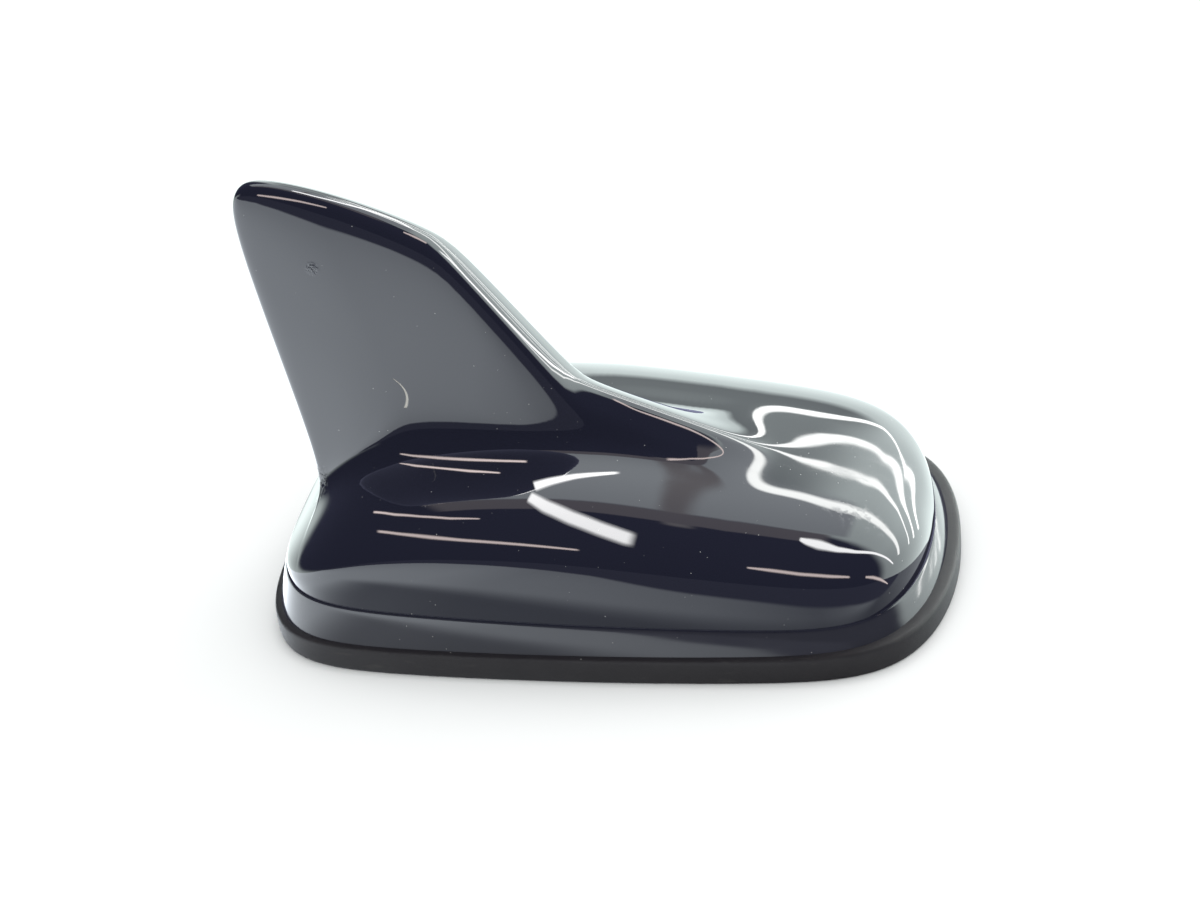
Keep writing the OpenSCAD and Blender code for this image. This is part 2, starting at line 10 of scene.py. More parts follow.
import bpy
import numpy as np
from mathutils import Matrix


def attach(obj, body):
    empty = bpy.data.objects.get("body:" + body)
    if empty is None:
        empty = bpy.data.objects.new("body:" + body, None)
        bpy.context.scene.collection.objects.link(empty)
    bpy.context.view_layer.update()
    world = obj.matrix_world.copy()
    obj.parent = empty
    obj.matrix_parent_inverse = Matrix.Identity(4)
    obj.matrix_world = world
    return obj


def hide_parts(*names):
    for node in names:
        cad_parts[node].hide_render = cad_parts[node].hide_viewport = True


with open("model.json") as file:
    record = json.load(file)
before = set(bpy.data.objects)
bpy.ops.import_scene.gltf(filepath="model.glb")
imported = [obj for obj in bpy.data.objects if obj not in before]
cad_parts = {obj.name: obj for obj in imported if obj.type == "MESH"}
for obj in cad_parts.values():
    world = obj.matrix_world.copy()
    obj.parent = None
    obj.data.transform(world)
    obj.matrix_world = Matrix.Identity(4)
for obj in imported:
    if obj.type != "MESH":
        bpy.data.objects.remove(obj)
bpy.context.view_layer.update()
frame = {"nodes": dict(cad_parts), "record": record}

MM = 0.001

# Sizes of the moulded outline. An inset is (from the sides and the rear, from the nose).
GASKET_LENGTH = 124.0
GASKET_WIDTH = 72.0
GASKET_HEIGHT = 5.0
GASKET_IN = (0, 0)
DOME_IN = (3.4, 4.4)
GROOVE_IN = (3.52, 4.52)
LIP_IN = (3.12, 4.1)
BELLY_IN = (2.15, 3.2)
RIM_IN = (1.25, 2.3)
SKIRT_IN = (3.75, 4.7)
CAVITY_IN = (6.4, 7.4)
SIDE_TAPER = 0.09

# Height of the groove at the middle of the part, and how much it falls over the part's length.
GROOVE_Z = 10.17
GROOVE_FALL = 4.44
# How far the dome's edge, the groove and the band's lip lie below that height.
EDGE_DROP = 0.14
GROOVE_DROP = 0.34
LIP_DROP = 0.52
BELLY_SHARE = 0.48

SKIN = 2.3
LEDGE_Z = 5.7
HOLLOW_DROP = 0.3
HOLLOW_SHARE = 0.6
HOLLOW_MARGIN = 1.4

# End caps: (rear power, rear root, nose power, nose root).
OUTLINE_END = (9, 3.1, 8.3, 1.97)
CROWN_END = (4.6, 0.9, 8.3, 1.97)
FIN_END = (40, 1, 40, 1)
ARCH_POWER = 4
ARCH_ROOT = 2.9

# The crown's two straight runs, each from an (x, z) point, and the radius where they meet.
CROWN_REAR = (-10, 30.3)
CROWN_REAR_SLOPE = 0.02
CROWN_NOSE = (20, 26.3)
CROWN_NOSE_FALL = 5.4
CROWN_NOSE_RUN = 31
CROWN_ROUND = 2

# Points of the fin's edge, each with the height of the dome below it.
FOOT = (-52.8, 21.0, 21.0)
TIP = (-60.2, 71.0, 26.0)
TOP_REAR = (-50.0, 79.6, 29.5)
TOP_FRONT = (-30.0, 71.1, 29.7)
LEAD_TOP = (-20.0, 62.2, 30.0)
LEAD_FOOT = (-9.2, 46.4, 30.0)
SPINE_REAR = (0.2, 37.2, 29.5)
SPINE_FRONT = (25.9, 26.2, 25.0)
FIN_LEAN = 0.26
TOP_BOW = 0.005
LEAD_ROUND = 3
TOP_ROUND = 3.6
REAR_ROUND = 28
FIN_REACH = 8.4
FIN_REAR_SHARE = 0.56
FIN_REAR_GAIN = 0.44
FILLET_POWER = 5.5
FILLET_SOFTER = 2.2
FIN_KEEPS_AT = 30

COVER_STATIONS = 260
COVER_BANDS = ((-0.985, -0.7, 0.35), (0.45, 0.99, 0.2))
OUTER_COLUMNS = 92
INNER_COLUMNS = 26
GASKET_STATIONS = 240
WELD = 2e-5


# The shape functions.
def soft_min(a, b, r):
    """The smaller of a and b, rounded over where they meet."""
    return (a + b - np.sqrt((a - b) ** 2 + r * r)) / 2


def soft_max(a, b, r):
    """The larger of a and b, rounded over where they meet."""
    return (a + b + np.sqrt((a - b) ** 2 + r * r)) / 2


def ease(t):
    """0 below 0, 1 above 1, and 3t^2 - 2t^3 between."""
    t = np.clip(t, 0, 1)
    return t * t * (3 - 2 * t)


def end_cap(u, rear_power, rear_root, nose_power, nose_root):
    """Falls from 1 to 0 at u = -1 and u = 1, as (1 - |u|^power)^(1 / root) on each side."""
    rear = (1 - np.clip(-u, 0, 1) ** rear_power) ** (1 / rear_root)
    return rear * (1 - np.clip(u, 0, 1) ** nose_power) ** (1 / nose_root)


def x_at(inset, u):
    """Place along an inset outline at u, from -1 at its rear end to 1 at its nose."""
    rear = -GASKET_LENGTH / 2 + inset[0]
    nose = GASKET_LENGTH / 2 - inset[1]
    return (rear + nose) / 2 + (nose - rear) / 2 * u


def half_width(inset, u):
    """Half width at u: narrower towards both ends by 9% of u^2, and closed by the end cap."""
    return (GASKET_WIDTH / 2 - inset[0]) * (1 - SIDE_TAPER * u * u) * end_cap(u, *OUTLINE_END)


def upright(point):
    """A point of the fin's edge before the fin leans back, as (s, z)."""
    return point[0] + FIN_LEAN * (point[1] - point[2]), point[1]


def on_line(s, a, b):
    """Height at s of the straight line through two upright points."""
    (s0, z0), (s1, z1) = upright(a), upright(b)
    return z0 + (s - s0) * (z1 - z0) / (s1 - s0)


def ridge(s):
    """Height of the fin and its spine over s: the lowest of its top, its rear and its front."""
    top = on_line(s, TOP_REAR, TOP_FRONT)
    top = top - TOP_BOW * (s - upright(TOP_REAR)[0]) * (s - upright(TOP_FRONT)[0])
    lead, spine = on_line(s, LEAD_TOP, LEAD_FOOT), on_line(s, SPINE_REAR, SPINE_FRONT)
    front = soft_max(lead, spine, LEAD_ROUND)
    return soft_min(soft_min(front, top, TOP_ROUND), on_line(s, FOOT, TIP), REAR_ROUND)


def crown(s):
    """Height of the dome's middle line, nearly level and then falling to the nose."""
    level = CROWN_REAR[1] + CROWN_REAR_SLOPE * (s - CROWN_REAR[0])
    falling = CROWN_NOSE[1] - CROWN_NOSE_FALL * (s - CROWN_NOSE[0]) / CROWN_NOSE_RUN
    return soft_min(level, falling, CROWN_ROUND)


def flank(s):
    """Distance from the middle at which the fin's side meets the dome.

    It starts smaller at the rear end, loses 1 mm past the fin and gains 5 mm along the spine.
    """
    root = FIN_REACH * (FIN_REAR_SHARE + FIN_REAR_GAIN * ease((s + 58) / 26))
    return root - ease((s + 12) / 20) + 5 * ease((s - 14) / 26)


def fillet_power(s):
    """How sharply the fin's side turns into the dome, softer to the rear of the fin's middle."""
    return FILLET_POWER - FILLET_SOFTER * ease((-10 - s) / 28)


def groove_z(x):
    """Height of the groove between the dome and the band, falling to the nose."""
    return GROOVE_Z - GROOVE_FALL * x / GASKET_LENGTH


def skin_section(x, y, b, foot_z, rise, fin_rise, f):
    """A dome rise * (1 - (y/b)^4)^(1/2.9), plus the fin's bump, which shears back by the lean.

    The bump is a / ((1 + y^2 / reach)^2 + (a (y/w)^power)^2)^(1/2), for a fin that rises a. Where
    the power is lower, w is larger, so that the fin keeps its thickness 30 mm up.
    """
    arch = (1 - np.minimum(1, y / b) ** ARCH_POWER) ** (1 / ARCH_ROOT)
    reach = f * soft_max(fin_rise, 0.3 * f, 1)
    power = fillet_power(x)
    wide = f * FIN_KEEPS_AT ** (1 / power - 1 / FILLET_POWER)
    bump = fin_rise / np.sqrt((1 + y * y / reach) ** 2 + (fin_rise * (y / wide) ** power) ** 2)
    bump = bump * arch
    return np.stack([x - FIN_LEAN * bump, y, foot_z + rise * arch + bump], -1)


def spread_columns(section, y, count):
    """Columns over half a section, spaced by its length and by how far it turns, half and half.

    The tiny amounts keep the pinched end sections from dividing by zero.
    """
    dense = section(y)
    step = np.diff(dense, axis=1)
    run = np.linalg.norm(step, axis=2)
    bearing = np.unwrap(np.arctan2(step[..., 2], step[..., 1] + 1e-12), axis=1)
    turn = np.abs(np.diff(bearing, axis=1, prepend=bearing[:, :1]))
    share = run / (run.sum(1, keepdims=True) + 1e-9) + turn / (turn.sum(1, keepdims=True) + 1e-9)
    share = np.cumsum(share + 1e-7, axis=1)
    share = np.concatenate([np.zeros((len(share), 1)), share / share[:, -1:]], axis=1)
    even = np.linspace(0, 1, count)
    return np.stack([np.interp(even, a, c) for a, c in zip(share, y)])


def skin(u, count, inset, foot_drop, crown_drop, fin_top, fin_share, samples):
    """A dome and its fin from the middle outwards, as (stations, columns, 3).

    The foot and the crown are lowered, the fin ends at fin_top and has a share of its thickness.
    """
    u = u[:, None]
    x = x_at(inset, u)
    foot_z = groove_z(x) - foot_drop
    b = np.maximum(half_width(inset, u), 1e-5)
    rise = (crown(x) - crown_drop - foot_z) * end_cap(u, *CROWN_END)
    over = soft_max(fin_top(x) - foot_z - rise, 0, 1) * end_cap(u, *FIN_END)
    over = np.maximum(over, 1e-6)
    f = np.minimum(fin_share * flank(x), b / 2.2)

    def section(y):
        return skin_section(x + 0 * y, y, b, foot_z, rise, over, f)

    dense = b * (1 - (1 - np.linspace(0, 1, samples)) ** 3)
    return section(spread_columns(section, dense, count))


def outer_skin(u):
    """The dome and fin that show."""
    return skin(u, OUTER_COLUMNS, DOME_IN, 0, 0, ridge, 1, 2500)


def hollow_top(s):
    """Top of the hollow: one skin below the lower of two places of the ridge."""
    lower = np.minimum(ridge(s - HOLLOW_MARGIN), ridge(s + HOLLOW_MARGIN))
    return lower - SKIN + HOLLOW_DROP


def inner_skin(u):
    """The hollow under the dome and in the fin, one skin thickness lower."""
    return skin(u, INNER_COLUMNS, CAVITY_IN, HOLLOW_DROP, SKIN, hollow_top, HOLLOW_SHARE, 1200)


def rounded_profile(corners, share, steps):
    """A polyline whose inner corners are short curves that start share of the way back."""
    corners = np.asarray(corners, float)
    t = np.linspace(0, 1, steps)[:, None]
    rows = [corners[:1]]
    for before, corner, after in zip(corners[:-2], corners[1:-1], corners[2:]):
        start = corner + share * (before - corner)
        end = corner + share * (after - corner)
        rows.append((1 - t) ** 2 * start + 2 * t * (1 - t) * corner + t**2 * end)
    return np.concatenate(rows + [corners[-1:]])


def band_rows(u):
    """The groove and the band under the dome, down to the gasket, as (stations, rows, 3).

    A row of the profile is (side inset, nose inset, share of the groove's height, drop).
    """
    profile = rounded_profile(
        [
            (*DOME_IN, 1, 0),
            (*DOME_IN, 1, -EDGE_DROP),
            (*GROOVE_IN, 1, -GROOVE_DROP),
            (*LIP_IN, 1, -LIP_DROP),
            (*BELLY_IN, BELLY_SHARE, 0),
            (*RIM_IN, 0, 0),
        ],
        0.42,
        5,
    )[1:]
    u = u[:, None]
    inset = (profile[None, :, 0], profile[None, :, 1])
    foot_z = groove_z(x_at(DOME_IN, u))
    z = GASKET_HEIGHT + profile[:, 2] * (foot_z - GASKET_HEIGHT) + profile[:, 3]
    return np.stack([x_at(inset, u), half_width(inset, u), z], -1)


def outline_steps(count, bands=()):
    """Values of u, denser where the outline turns; each band (from, to, share) adds its own."""
    q = np.linspace(0, 1, 8001)
    u = np.unique(np.clip(np.concatenate([-1 + q**4, 1 - q[::-1] ** 3]), -1, 1))
    x = x_at(GASKET_IN, u)
    y = half_width(GASKET_IN, u)
    run = np.hypot(np.diff(x), np.diff(y))
    turn = np.abs(np.diff(np.arctan2(np.diff(y), np.diff(x)), prepend=np.pi / 2))
    share = run / run.sum() + 0.5 * turn / turn.sum()
    middle = (u[1:] + u[:-1]) / 2
    for low, high, extra in bands:
        inside = (middle > low) & (middle < high)
        share = share + extra * inside * np.diff(u) / (high - low)
    total = np.concatenate([[0], np.cumsum(share)])
    return np.interp(np.linspace(0, total[-1], count), total, u)


# Meshes.
def grid_quads(rows, columns, close_rows=False, close_columns=False):
    """Corner numbers of the four-sided faces of a grid of points, which may close on itself."""
    index = np.arange(rows * columns).reshape(rows, columns)
    if close_rows:
        index = np.concatenate([index, index[:1]])
    if close_columns:
        index = np.concatenate([index, index[:, :1]], axis=1)
    quads = np.stack([index[:-1, :-1], index[1:, :-1], index[1:, 1:], index[:-1, 1:]], -1)
    return quads.reshape(-1, 4)


def welded(points, quads):
    """Joins points that fall in one cell of a grid as fine as WELD, and drops what this collapses.

    Returns the points, the four-sided faces and the three-sided ones.
    """
    points = points.reshape(-1, 3)
    place = np.round(points / WELD).astype(np.int64)
    _, first, home = np.unique(place, axis=0, return_index=True, return_inverse=True)
    quads = home.reshape(-1)[quads]
    double = quads == np.roll(quads, -1, axis=1)
    crossed = (quads[:, 0] == quads[:, 2]) | (quads[:, 1] == quads[:, 3])
    whole = quads[(double.sum(1) == 0) & ~crossed]
    pinched = (double.sum(1) == 1) & ~crossed
    threes = quads[pinched][~double[pinched]].reshape(-1, 3)
    return points[first], whole, threes


def signed_volume(points, quads, threes):
    """Six times the volume inside the faces, negative if they point inwards."""
    faces = np.concatenate([quads[:, [0, 1, 2]], quads[:, [0, 2, 3]], threes])
    a, b, c = (points[faces[:, i]] for i in range(3))
    return float(np.einsum("ij,ij->", a, np.cross(b, c)))


def add_mesh(name, points, *faces):
    """A mesh object in metres from points in millimetres and arrays of faces."""
    mesh = bpy.data.meshes.new(name)
    mesh.from_pydata((points * MM).tolist(), [], sum((rows.tolist() for rows in faces), []))
    mesh.update()
    made = bpy.data.objects.new(name, mesh)
    bpy.context.scene.collection.objects.link(made)
    return made


def add_piece(name, points, quads, slot, node, sharp):
    """A closed piece that replaces a node, turned outwards and shaded smooth below an angle."""
    points, quads, threes = welded(points, quads)
    if signed_volume(points, quads, threes) < 0:
        quads, threes = quads[:, ::-1], threes[:, ::-1]
    made = add_mesh(name, points, quads, threes)
    made.data.shade_smooth()
    made.data.set_sharp_from_angle(angle=math.radians(sharp))
    made.data.materials.append(FINISHES[slot])
    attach(made, "root")
    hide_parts(node)


# Shader maths.
class Wire:
    """One output socket. Arithmetic on it adds Math nodes to its finish."""

    def __init__(self, finish, socket):
        self.finish = finish
        self.socket = socket

    def other(self, output):
        """Another output of the same node, by name or number."""
        return Wire(self.finish, self.socket.node.outputs[output])

    def math(self, operation, *values):
        return self.finish.node("ShaderNodeMath", {"operation": operation}, *values)

    def __add__(self, other):
        return self.math("ADD", self, other)

    def __radd__(self, other):
        return self.math("ADD", other, self)

    def __sub__(self, other):
        return self.math("SUBTRACT", self, other)

    def __rsub__(self, other):
        return self.math("SUBTRACT", other, self)

    def __mul__(self, other):
        return self.math("MULTIPLY", self, other)

    def __rmul__(self, other):
        return self.math("MULTIPLY", other, self)

    def __truediv__(self, other):
        return self.math("DIVIDE", self, other)

    def __pow__(self, other):
        return self.math("POWER", self, other)

    def __abs__(self):
        return self.math("ABSOLUTE", self)

    def rise(self, low, high):
        """0 below low, 1 above high and smooth between; low may be the larger one."""
        smooth = {"interpolation_type": "SMOOTHSTEP", "clamp": True}
        return self.finish.node("ShaderNodeMapRange", smooth, self, low, high, 0.0, 1.0)


class Finish:
    """A material that is built up node by node."""

    def __init__(self, name):
        self.material = bpy.data.materials.new(name)
        self.material.use_nodes = True
        self.tree = self.material.node_tree
        self.tree.nodes.clear()
        self.place = self.node("ShaderNodeTexCoord", {}, output="Object")

    def node(self, kind, settings, *values, output=0, **named):
        """Adds a node: its settings first, then its sockets by order or by name."""
        made = self.tree.nodes.new(kind)
        for key, value in settings.items():
            setattr(made, key, value)
        sockets = list(enumerate(values))
        sockets += [(key.replace("_", " "), value) for key, value in named.items()]
        for key, value in sockets:
            if isinstance(value, Wire):
                self.tree.links.new(value.socket, made.inputs[key])
            elif value is not None:
                made.inputs[key].default_value = value
        return Wire(self, made.outputs[output]) if made.outputs else None

    def xyz(self):
        """The three coordinates of a place on the piece, in metres."""
        split = self.node("ShaderNodeSeparateXYZ", {}, self.place)
        return [split.other(i) for i in range(3)]

    def moved(self, scale=(1, 1, 1), turn=(0, 0, 0), shift=(0, 0, 0)):
        """The place after a Mapping node, for a stretched or turned pattern."""
        return self.node("ShaderNodeMapping", {}, self.place, shift, turn, scale)

    def noise(self, size, detail=2.0, place=None, rough=0.5):
        """Soft random values round 0.5, with a feature size in millimetres."""
        return self.node(
            "ShaderNodeTexNoise",
            {},
            Vector=place or self.place,
            Scale=1 / (size * MM),
            Detail=detail,
            Roughness=rough,
        )

    def cells(self, size, place=None):
        """Distance to the nearest of scattered points, with that spacing in millimetres."""
        place = place or self.place
        return self.node("ShaderNodeTexVoronoi", {}, Vector=place, Scale=1 / (size * MM))

    def mix(self, amount, a, b):
        """Colour a where amount is 0 and b where it is 1."""
        numbers_and_vectors = [None] * 5
        sockets = (amount, *numbers_and_vectors, a, b)
        return self.node("ShaderNodeMix", {"data_type": "RGBA"}, *sockets, output=2)

    def bump(self, height, depth, below=None):
        """A normal bent by a height map whose value 1 stands for depth millimetres."""
        return self.node(
            "ShaderNodeBump", {}, Strength=1.0, Distance=depth * MM, Height=height, Normal=below
        )

    def closed(self, shader):
        """Ends the finish in a shader and returns its material."""
        self.node("ShaderNodeOutputMaterial", {}, Surface=shader)
        return self.material

    def surface(self, **sockets):
        """Ends the finish in the surface shader and returns its material."""
        return self.closed(self.node("ShaderNodeBsdfPrincipled", {}, **sockets))


def colour(red, green, blue):
    """A linear colour with full alpha."""
    return (red, green, blue, 1.0)


def near_point(finish, point, radius):
    """1 at a point of the part, given in millimetres, falling to 0 at the radius."""
    x, y, z = finish.xyz()
    away = (
        (x - point[0] * MM) ** 2.0 + (y - point[1] * MM) ** 2.0 + (z - point[2] * MM) ** 2.0
    ) ** 0.5
    return away.rise(radius * MM, 0.0)


# Marks on the cover: the middle of each and its reach.
NOSE_DUST = ((40, -2, 24), 26)
NOSE_WIPE = ((46, -16, 21), 9)
FIN_SMUDGE = ((-46.6, -4.0, 63.8), 1.7)
FIN_FOOT_DIRT = ((-53.5, -5.5, 20.5), 5)
# The long scratch on the right side of the fin: its middle, half height, bow and half width.
SCRATCH_X = -33.25
SCRATCH_Z = 40
SCRATCH_HALF = 2.9
SCRATCH_BOW = (0.68, 1.35, 0.15)
SCRATCH_WIDTH = 0.16
SCRATCH_TAPER = 0.09


def scratch_mask(x, y, z):
    """1 on the scratch, whose place along X is a cubic of the height, wider at its lower end."""
    along = (z - SCRATCH_Z * MM) / (SCRATCH_HALF * MM)
    lean, bow, twist = SCRATCH_BOW
    off = x + (-SCRATCH_X + along * (lean + along * (bow + along * twist))) * MM
    width = (SCRATCH_WIDTH - along * SCRATCH_TAPER) * MM
    line = abs(off).rise(width * 1.6, width * 0.5)
    return line * abs(along).rise(1.0, 0.9) * (0.0 - y).rise(1 * MM, 2 * MM)


def gloss_cover_finish():
    """Gloss black plastic: waves, haze, dust, hairlines, a scratch, and a duller band painted a
    lighter grey as a painted reflection.
    """
    f = Finish("cover_gloss")
    x, y, z = f.xyz()
    haze = f.noise(14, 3).rise(0.45, 0.75)
    hairlines = f.noise(2.2, 4, f.moved((0.12, 1, 1), (0, 0.35, 0.2))).rise(0.52, 0.72)
    dust = (f.noise(9, 2) + near_point(f, *NOSE_DUST) * 0.17).rise(0.46, 0.64)
    dust = f.cells(1.7).rise(0.07, 0.03) * dust
    fibre = f.cells(6.5, f.moved((0.1, 1, 1), (0.3, 0.2, 0.9))).rise(0.012, 0.004)
    scratch = scratch_mask(x, y, z)
    smudge = near_point(f, *FIN_SMUDGE) * f.noise(0.5, 3).rise(0.4, 0.5)
    nose_wipe = near_point(f, *NOSE_WIPE) * f.noise(1.1, 4).rise(0.5, 0.62)
    dirt = near_point(f, *FIN_FOOT_DIRT) * f.noise(0.8, 4).rise(0.42, 0.55)
    # The band below the groove is made rougher. It is also painted a lighter grey that stands in
    # for the sheet it reflects: a painted reflection.
    dull_band_and_painted_reflection = (z + x * (GROOVE_FALL / GASKET_LENGTH)).rise(9.9 * MM, 9.5 * MM)

    # The cover's black, and the lighter grey painted on the band as a painted reflection.
    black, painted_band_reflection = colour(0.0098, 0.0104, 0.0195), colour(0.026, 0.0265, 0.034)
    base = f.mix(dull_band_and_painted_reflection * (0.75 + haze * 0.25), black, painted_band_reflection)
    for mask, tint in (
        (dust * 0.6, colour(0.6, 0.6, 0.58)),
        (dirt * 0.5, colour(0.03, 0.027, 0.024)),
        (fibre * 0.2, colour(0.5, 0.48, 0.45)),
        (scratch * 0.75, colour(0.62, 0.6, 0.55)),
    ):
        base = f.mix(mask, base, tint)
    rough = 0.022 + haze * 0.018 + hairlines * 0.02 + dust * 0.4 + scratch * 0.5 + smudge * 0.3
    rough = rough + dull_band_and_painted_reflection * 0.1 + dirt * 0.35 + nose_wipe * 0.16
    normal = f.bump(f.noise(5.5, 1.0), 0.0035)
    normal = f.bump(f.noise(0.16, 2.0), 0.00012, normal)
    normal = f.bump(0.0 - scratch, 0.03, normal)
    normal = f.bump(smudge * f.noise(0.35, 2), 0.26, normal)
    normal = f.bump(dirt * f.noise(0.5, 3), 0.16, normal)
    return f.surface(Base_Color=base, Roughness=rough, Normal=normal, IOR=1.5)


def gasket_rubber_finish():
    """Matte brown-black moulded rubber: fine grain, a bloom, scuffs and pale specks."""
    f = Finish("gasket_rubber")
    bloom = f.noise(7, 4, rough=0.6)
    grain = f.noise(0.22, 3.0, rough=0.65)
    scuff = f.noise(1.6, 5, f.moved((0.3, 1, 1.2), (0.1, 0.2, 0.5))).rise(0.6, 0.8)
    speck = f.cells(2.7).rise(0.045, 0.02) * f.noise(12, 2).rise(0.46, 0.6)
    base = f.mix(bloom, colour(0.0122, 0.0103, 0.0118), colour(0.0205, 0.0178, 0.0196))
    base = f.mix(scuff * 0.35, base, colour(0.07, 0.066, 0.062))
    base = f.mix(speck * 0.6, base, colour(0.6, 0.58, 0.55))
    rough = 0.54 + grain * 0.14 + scuff * 0.12 - bloom * 0.06
    normal = f.bump(f.noise(0.9, 2), 0.03, f.bump(grain, 0.05))
    return f.surface(Base_Color=base, Roughness=rough, Normal=normal, IOR=1.45)


def plain_finish(
    name, dark, light, rough, metal=0.0, grain=0.3, depth=0.01, blotch=8.0, stretch=(1, 1, 1)
):
    """A finish with two shades in soft blotches, a fine grain and worn, smoother patches."""
    f = Finish(name)
    patch = f.noise(blotch, 4, rough=0.6)
    fine = f.noise(grain, 3, f.moved(stretch), 0.6)
    worn = f.noise(blotch / 3, 5).rise(0.55, 0.75)
    base = f.mix(patch, colour(*dark), colour(*light))
    base = f.mix(fine * 0.25, base, colour(*[c * 1.3 + 0.01 for c in light]))
    level = rough * (0.85 + 0.3 * patch) - worn * rough * 0.2
    return f.surface(
        Base_Color=base, Roughness=level, Metallic=metal, Normal=f.bump(fine, depth)
    )


def board_finish():
    """Green solder mask over copper tracks that run square to each other, with pale pads."""
    f = Finish("board_laminate")
    x, y, _ = f.xyz()
    step = 2.54 * MM
    across = abs(f.node("ShaderNodeMath", {"operation": "PINGPONG"}, x, step / 2) - step / 4)
    along = abs(f.node("ShaderNodeMath", {"operation": "PINGPONG"}, y, step / 2) - step / 4)
    pick = f.noise(9, 1).rise(0.48, 0.52)
    edge = (0.30 * MM, 0.22 * MM)
    track = across.rise(*edge) * pick + along.rise(*edge) * (1 - pick)
    pad = ((across * across + along * along) ** 0.5).rise(0.42 * MM, 0.36 * MM)
    pad = pad * f.noise(5, 1).rise(0.55, 0.6)
    base = f.mix(track, colour(0.006, 0.075, 0.03), colour(0.015, 0.15, 0.06))
    base = f.mix(pad, base, colour(0.72, 0.68, 0.56))
    base = f.mix(f.noise(6, 4).rise(0.5, 0.8) * 0.3, base, colour(0.01, 0.05, 0.02))
    rough = 0.28 + f.noise(3, 3) * 0.15 + pad * 0.1
    normal = f.bump(f.noise(0.3, 2), 0.004, f.bump(track + pad, 0.03))
    return f.surface(Base_Color=base, Roughness=rough, Metallic=pad * 0.9, Normal=normal)


PLAIN_FINISHES = {
    "seal_rubber": dict(
        dark=(0.02, 0.02, 0.021), light=(0.035, 0.034, 0.034), rough=0.6,
        grain=0.2, depth=0.02,
    ),
    "die_cast": dict(
        dark=(0.42, 0.43, 0.44), light=(0.58, 0.59, 0.6), rough=0.42, metal=1,
        grain=0.35, depth=0.03, blotch=6,
    ),
    "frame_plastic": dict(
        dark=(0.018, 0.018, 0.02), light=(0.03, 0.03, 0.033), rough=0.45,
        grain=0.4, depth=0.015,
    ),
    "zinc_steel": dict(
        dark=(0.5, 0.51, 0.54), light=(0.66, 0.67, 0.7), rough=0.28, metal=1,
        grain=0.25, depth=0.006, blotch=4, stretch=(1, 1, 0.2),
    ),
    "tin_sheet": dict(
        dark=(0.6, 0.6, 0.58), light=(0.76, 0.76, 0.74), rough=0.24, metal=1,
        grain=0.5, depth=0.004, blotch=5, stretch=(0.1, 1, 1),
    ),
    "patch_ceramic": dict(
        dark=(0.62, 0.55, 0.42), light=(0.74, 0.68, 0.55), rough=0.55,
        grain=0.2, depth=0.02,
    ),
    "pin_brass": dict(
        dark=(0.62, 0.43, 0.17), light=(0.78, 0.58, 0.28), rough=0.25, metal=1,
        grain=0.2, depth=0.004, blotch=2,
    ),
    "track_copper": dict(
        dark=(0.62, 0.3, 0.17), light=(0.8, 0.44, 0.28), rough=0.32, metal=1,
        grain=0.3, depth=0.006, blotch=5,
    ),
    "holder_plastic": dict(
        dark=(0.66, 0.65, 0.58), light=(0.78, 0.77, 0.72), rough=0.42,
        grain=0.5, depth=0.012,
    ),
    "spring_bronze": dict(
        dark=(0.66, 0.46, 0.24), light=(0.8, 0.62, 0.38), rough=0.26, metal=1,
        grain=0.3, depth=0.004, blotch=3,
    ),
    "spring_steel": dict(
        dark=(0.36, 0.36, 0.35), light=(0.52, 0.52, 0.51), rough=0.33, metal=1,
        grain=0.4, depth=0.006, blotch=5, stretch=(1, 0.15, 1),
    ),
    "yellow_zinc": dict(
        dark=(0.6, 0.5, 0.28), light=(0.7, 0.66, 0.5), rough=0.3, metal=1,
        grain=0.3, depth=0.006, blotch=3,
    ),
    "collar_plastic": dict(
        dark=(0.014, 0.014, 0.015), light=(0.026, 0.026, 0.028), rough=0.5,
        grain=0.35, depth=0.02,
    ),
    "socket_blue": dict(
        dark=(0.012, 0.05, 0.22), light=(0.02, 0.075, 0.3), rough=0.36,
        grain=0.4, depth=0.012,
    ),
    "socket_black": dict(
        dark=(0.012, 0.012, 0.013), light=(0.022, 0.022, 0.024), rough=0.36,
        grain=0.4, depth=0.012,
    ),
    "insulator_white": dict(
        dark=(0.75, 0.75, 0.73), light=(0.85, 0.85, 0.84), rough=0.4,
        grain=0.3, depth=0.01,
    ),
}
FINISHES = {name: plain_finish(name, **looks) for name, looks in PLAIN_FINISHES.items()}
FINISHES["cover_gloss"] = gloss_cover_finish()
FINISHES["gasket_rubber"] = gasket_rubber_finish()
FINISHES["board_laminate"] = board_finish()

for row in frame["record"]["subparts"]:
    data = frame["nodes"][row["node"]].data
    data.materials.clear()
    data.materials.append(FINISHES[row["material_slot"]])


# Pieces of the part.
def cover_piece():
    """The moulded cover: outer skin, groove and band, then the hollow, as one closed surface."""
    u = outline_steps(COVER_STATIONS, COVER_BANDS)
    outer = np.concatenate([outer_skin(u), band_rows(u)], axis=1)
    lines = [
        np.stack([x_at(inset, u), half_width(inset, u), np.full(len(u), z)], -1)
        for inset, z in ((CAVITY_IN, LEDGE_Z), (SKIRT_IN, LEDGE_Z), (SKIRT_IN, GASKET_HEIGHT))
    ]
    inner = np.concatenate([inner_skin(u), np.stack(lines, 1)], axis=1)
    other_side = np.array([1, -1, 1])
    loop = np.concatenate(
        [outer[:, :0:-1] * other_side, outer, inner[:, ::-1], inner[:, 1:] * other_side], axis=1
    )
    quads = grid_quads(*loop.shape[:2], close_columns=True)
    add_piece("cover_shell", loop, quads, "cover_gloss", "cover", 50)


def closed_outline(inset, u):
    """An inset outline, once round, as (points, 2)."""
    x, y = x_at(inset, u), half_width(inset, u)
    return np.concatenate([np.stack([x, -y], -1), np.stack([x, y], -1)[-2:0:-1]])


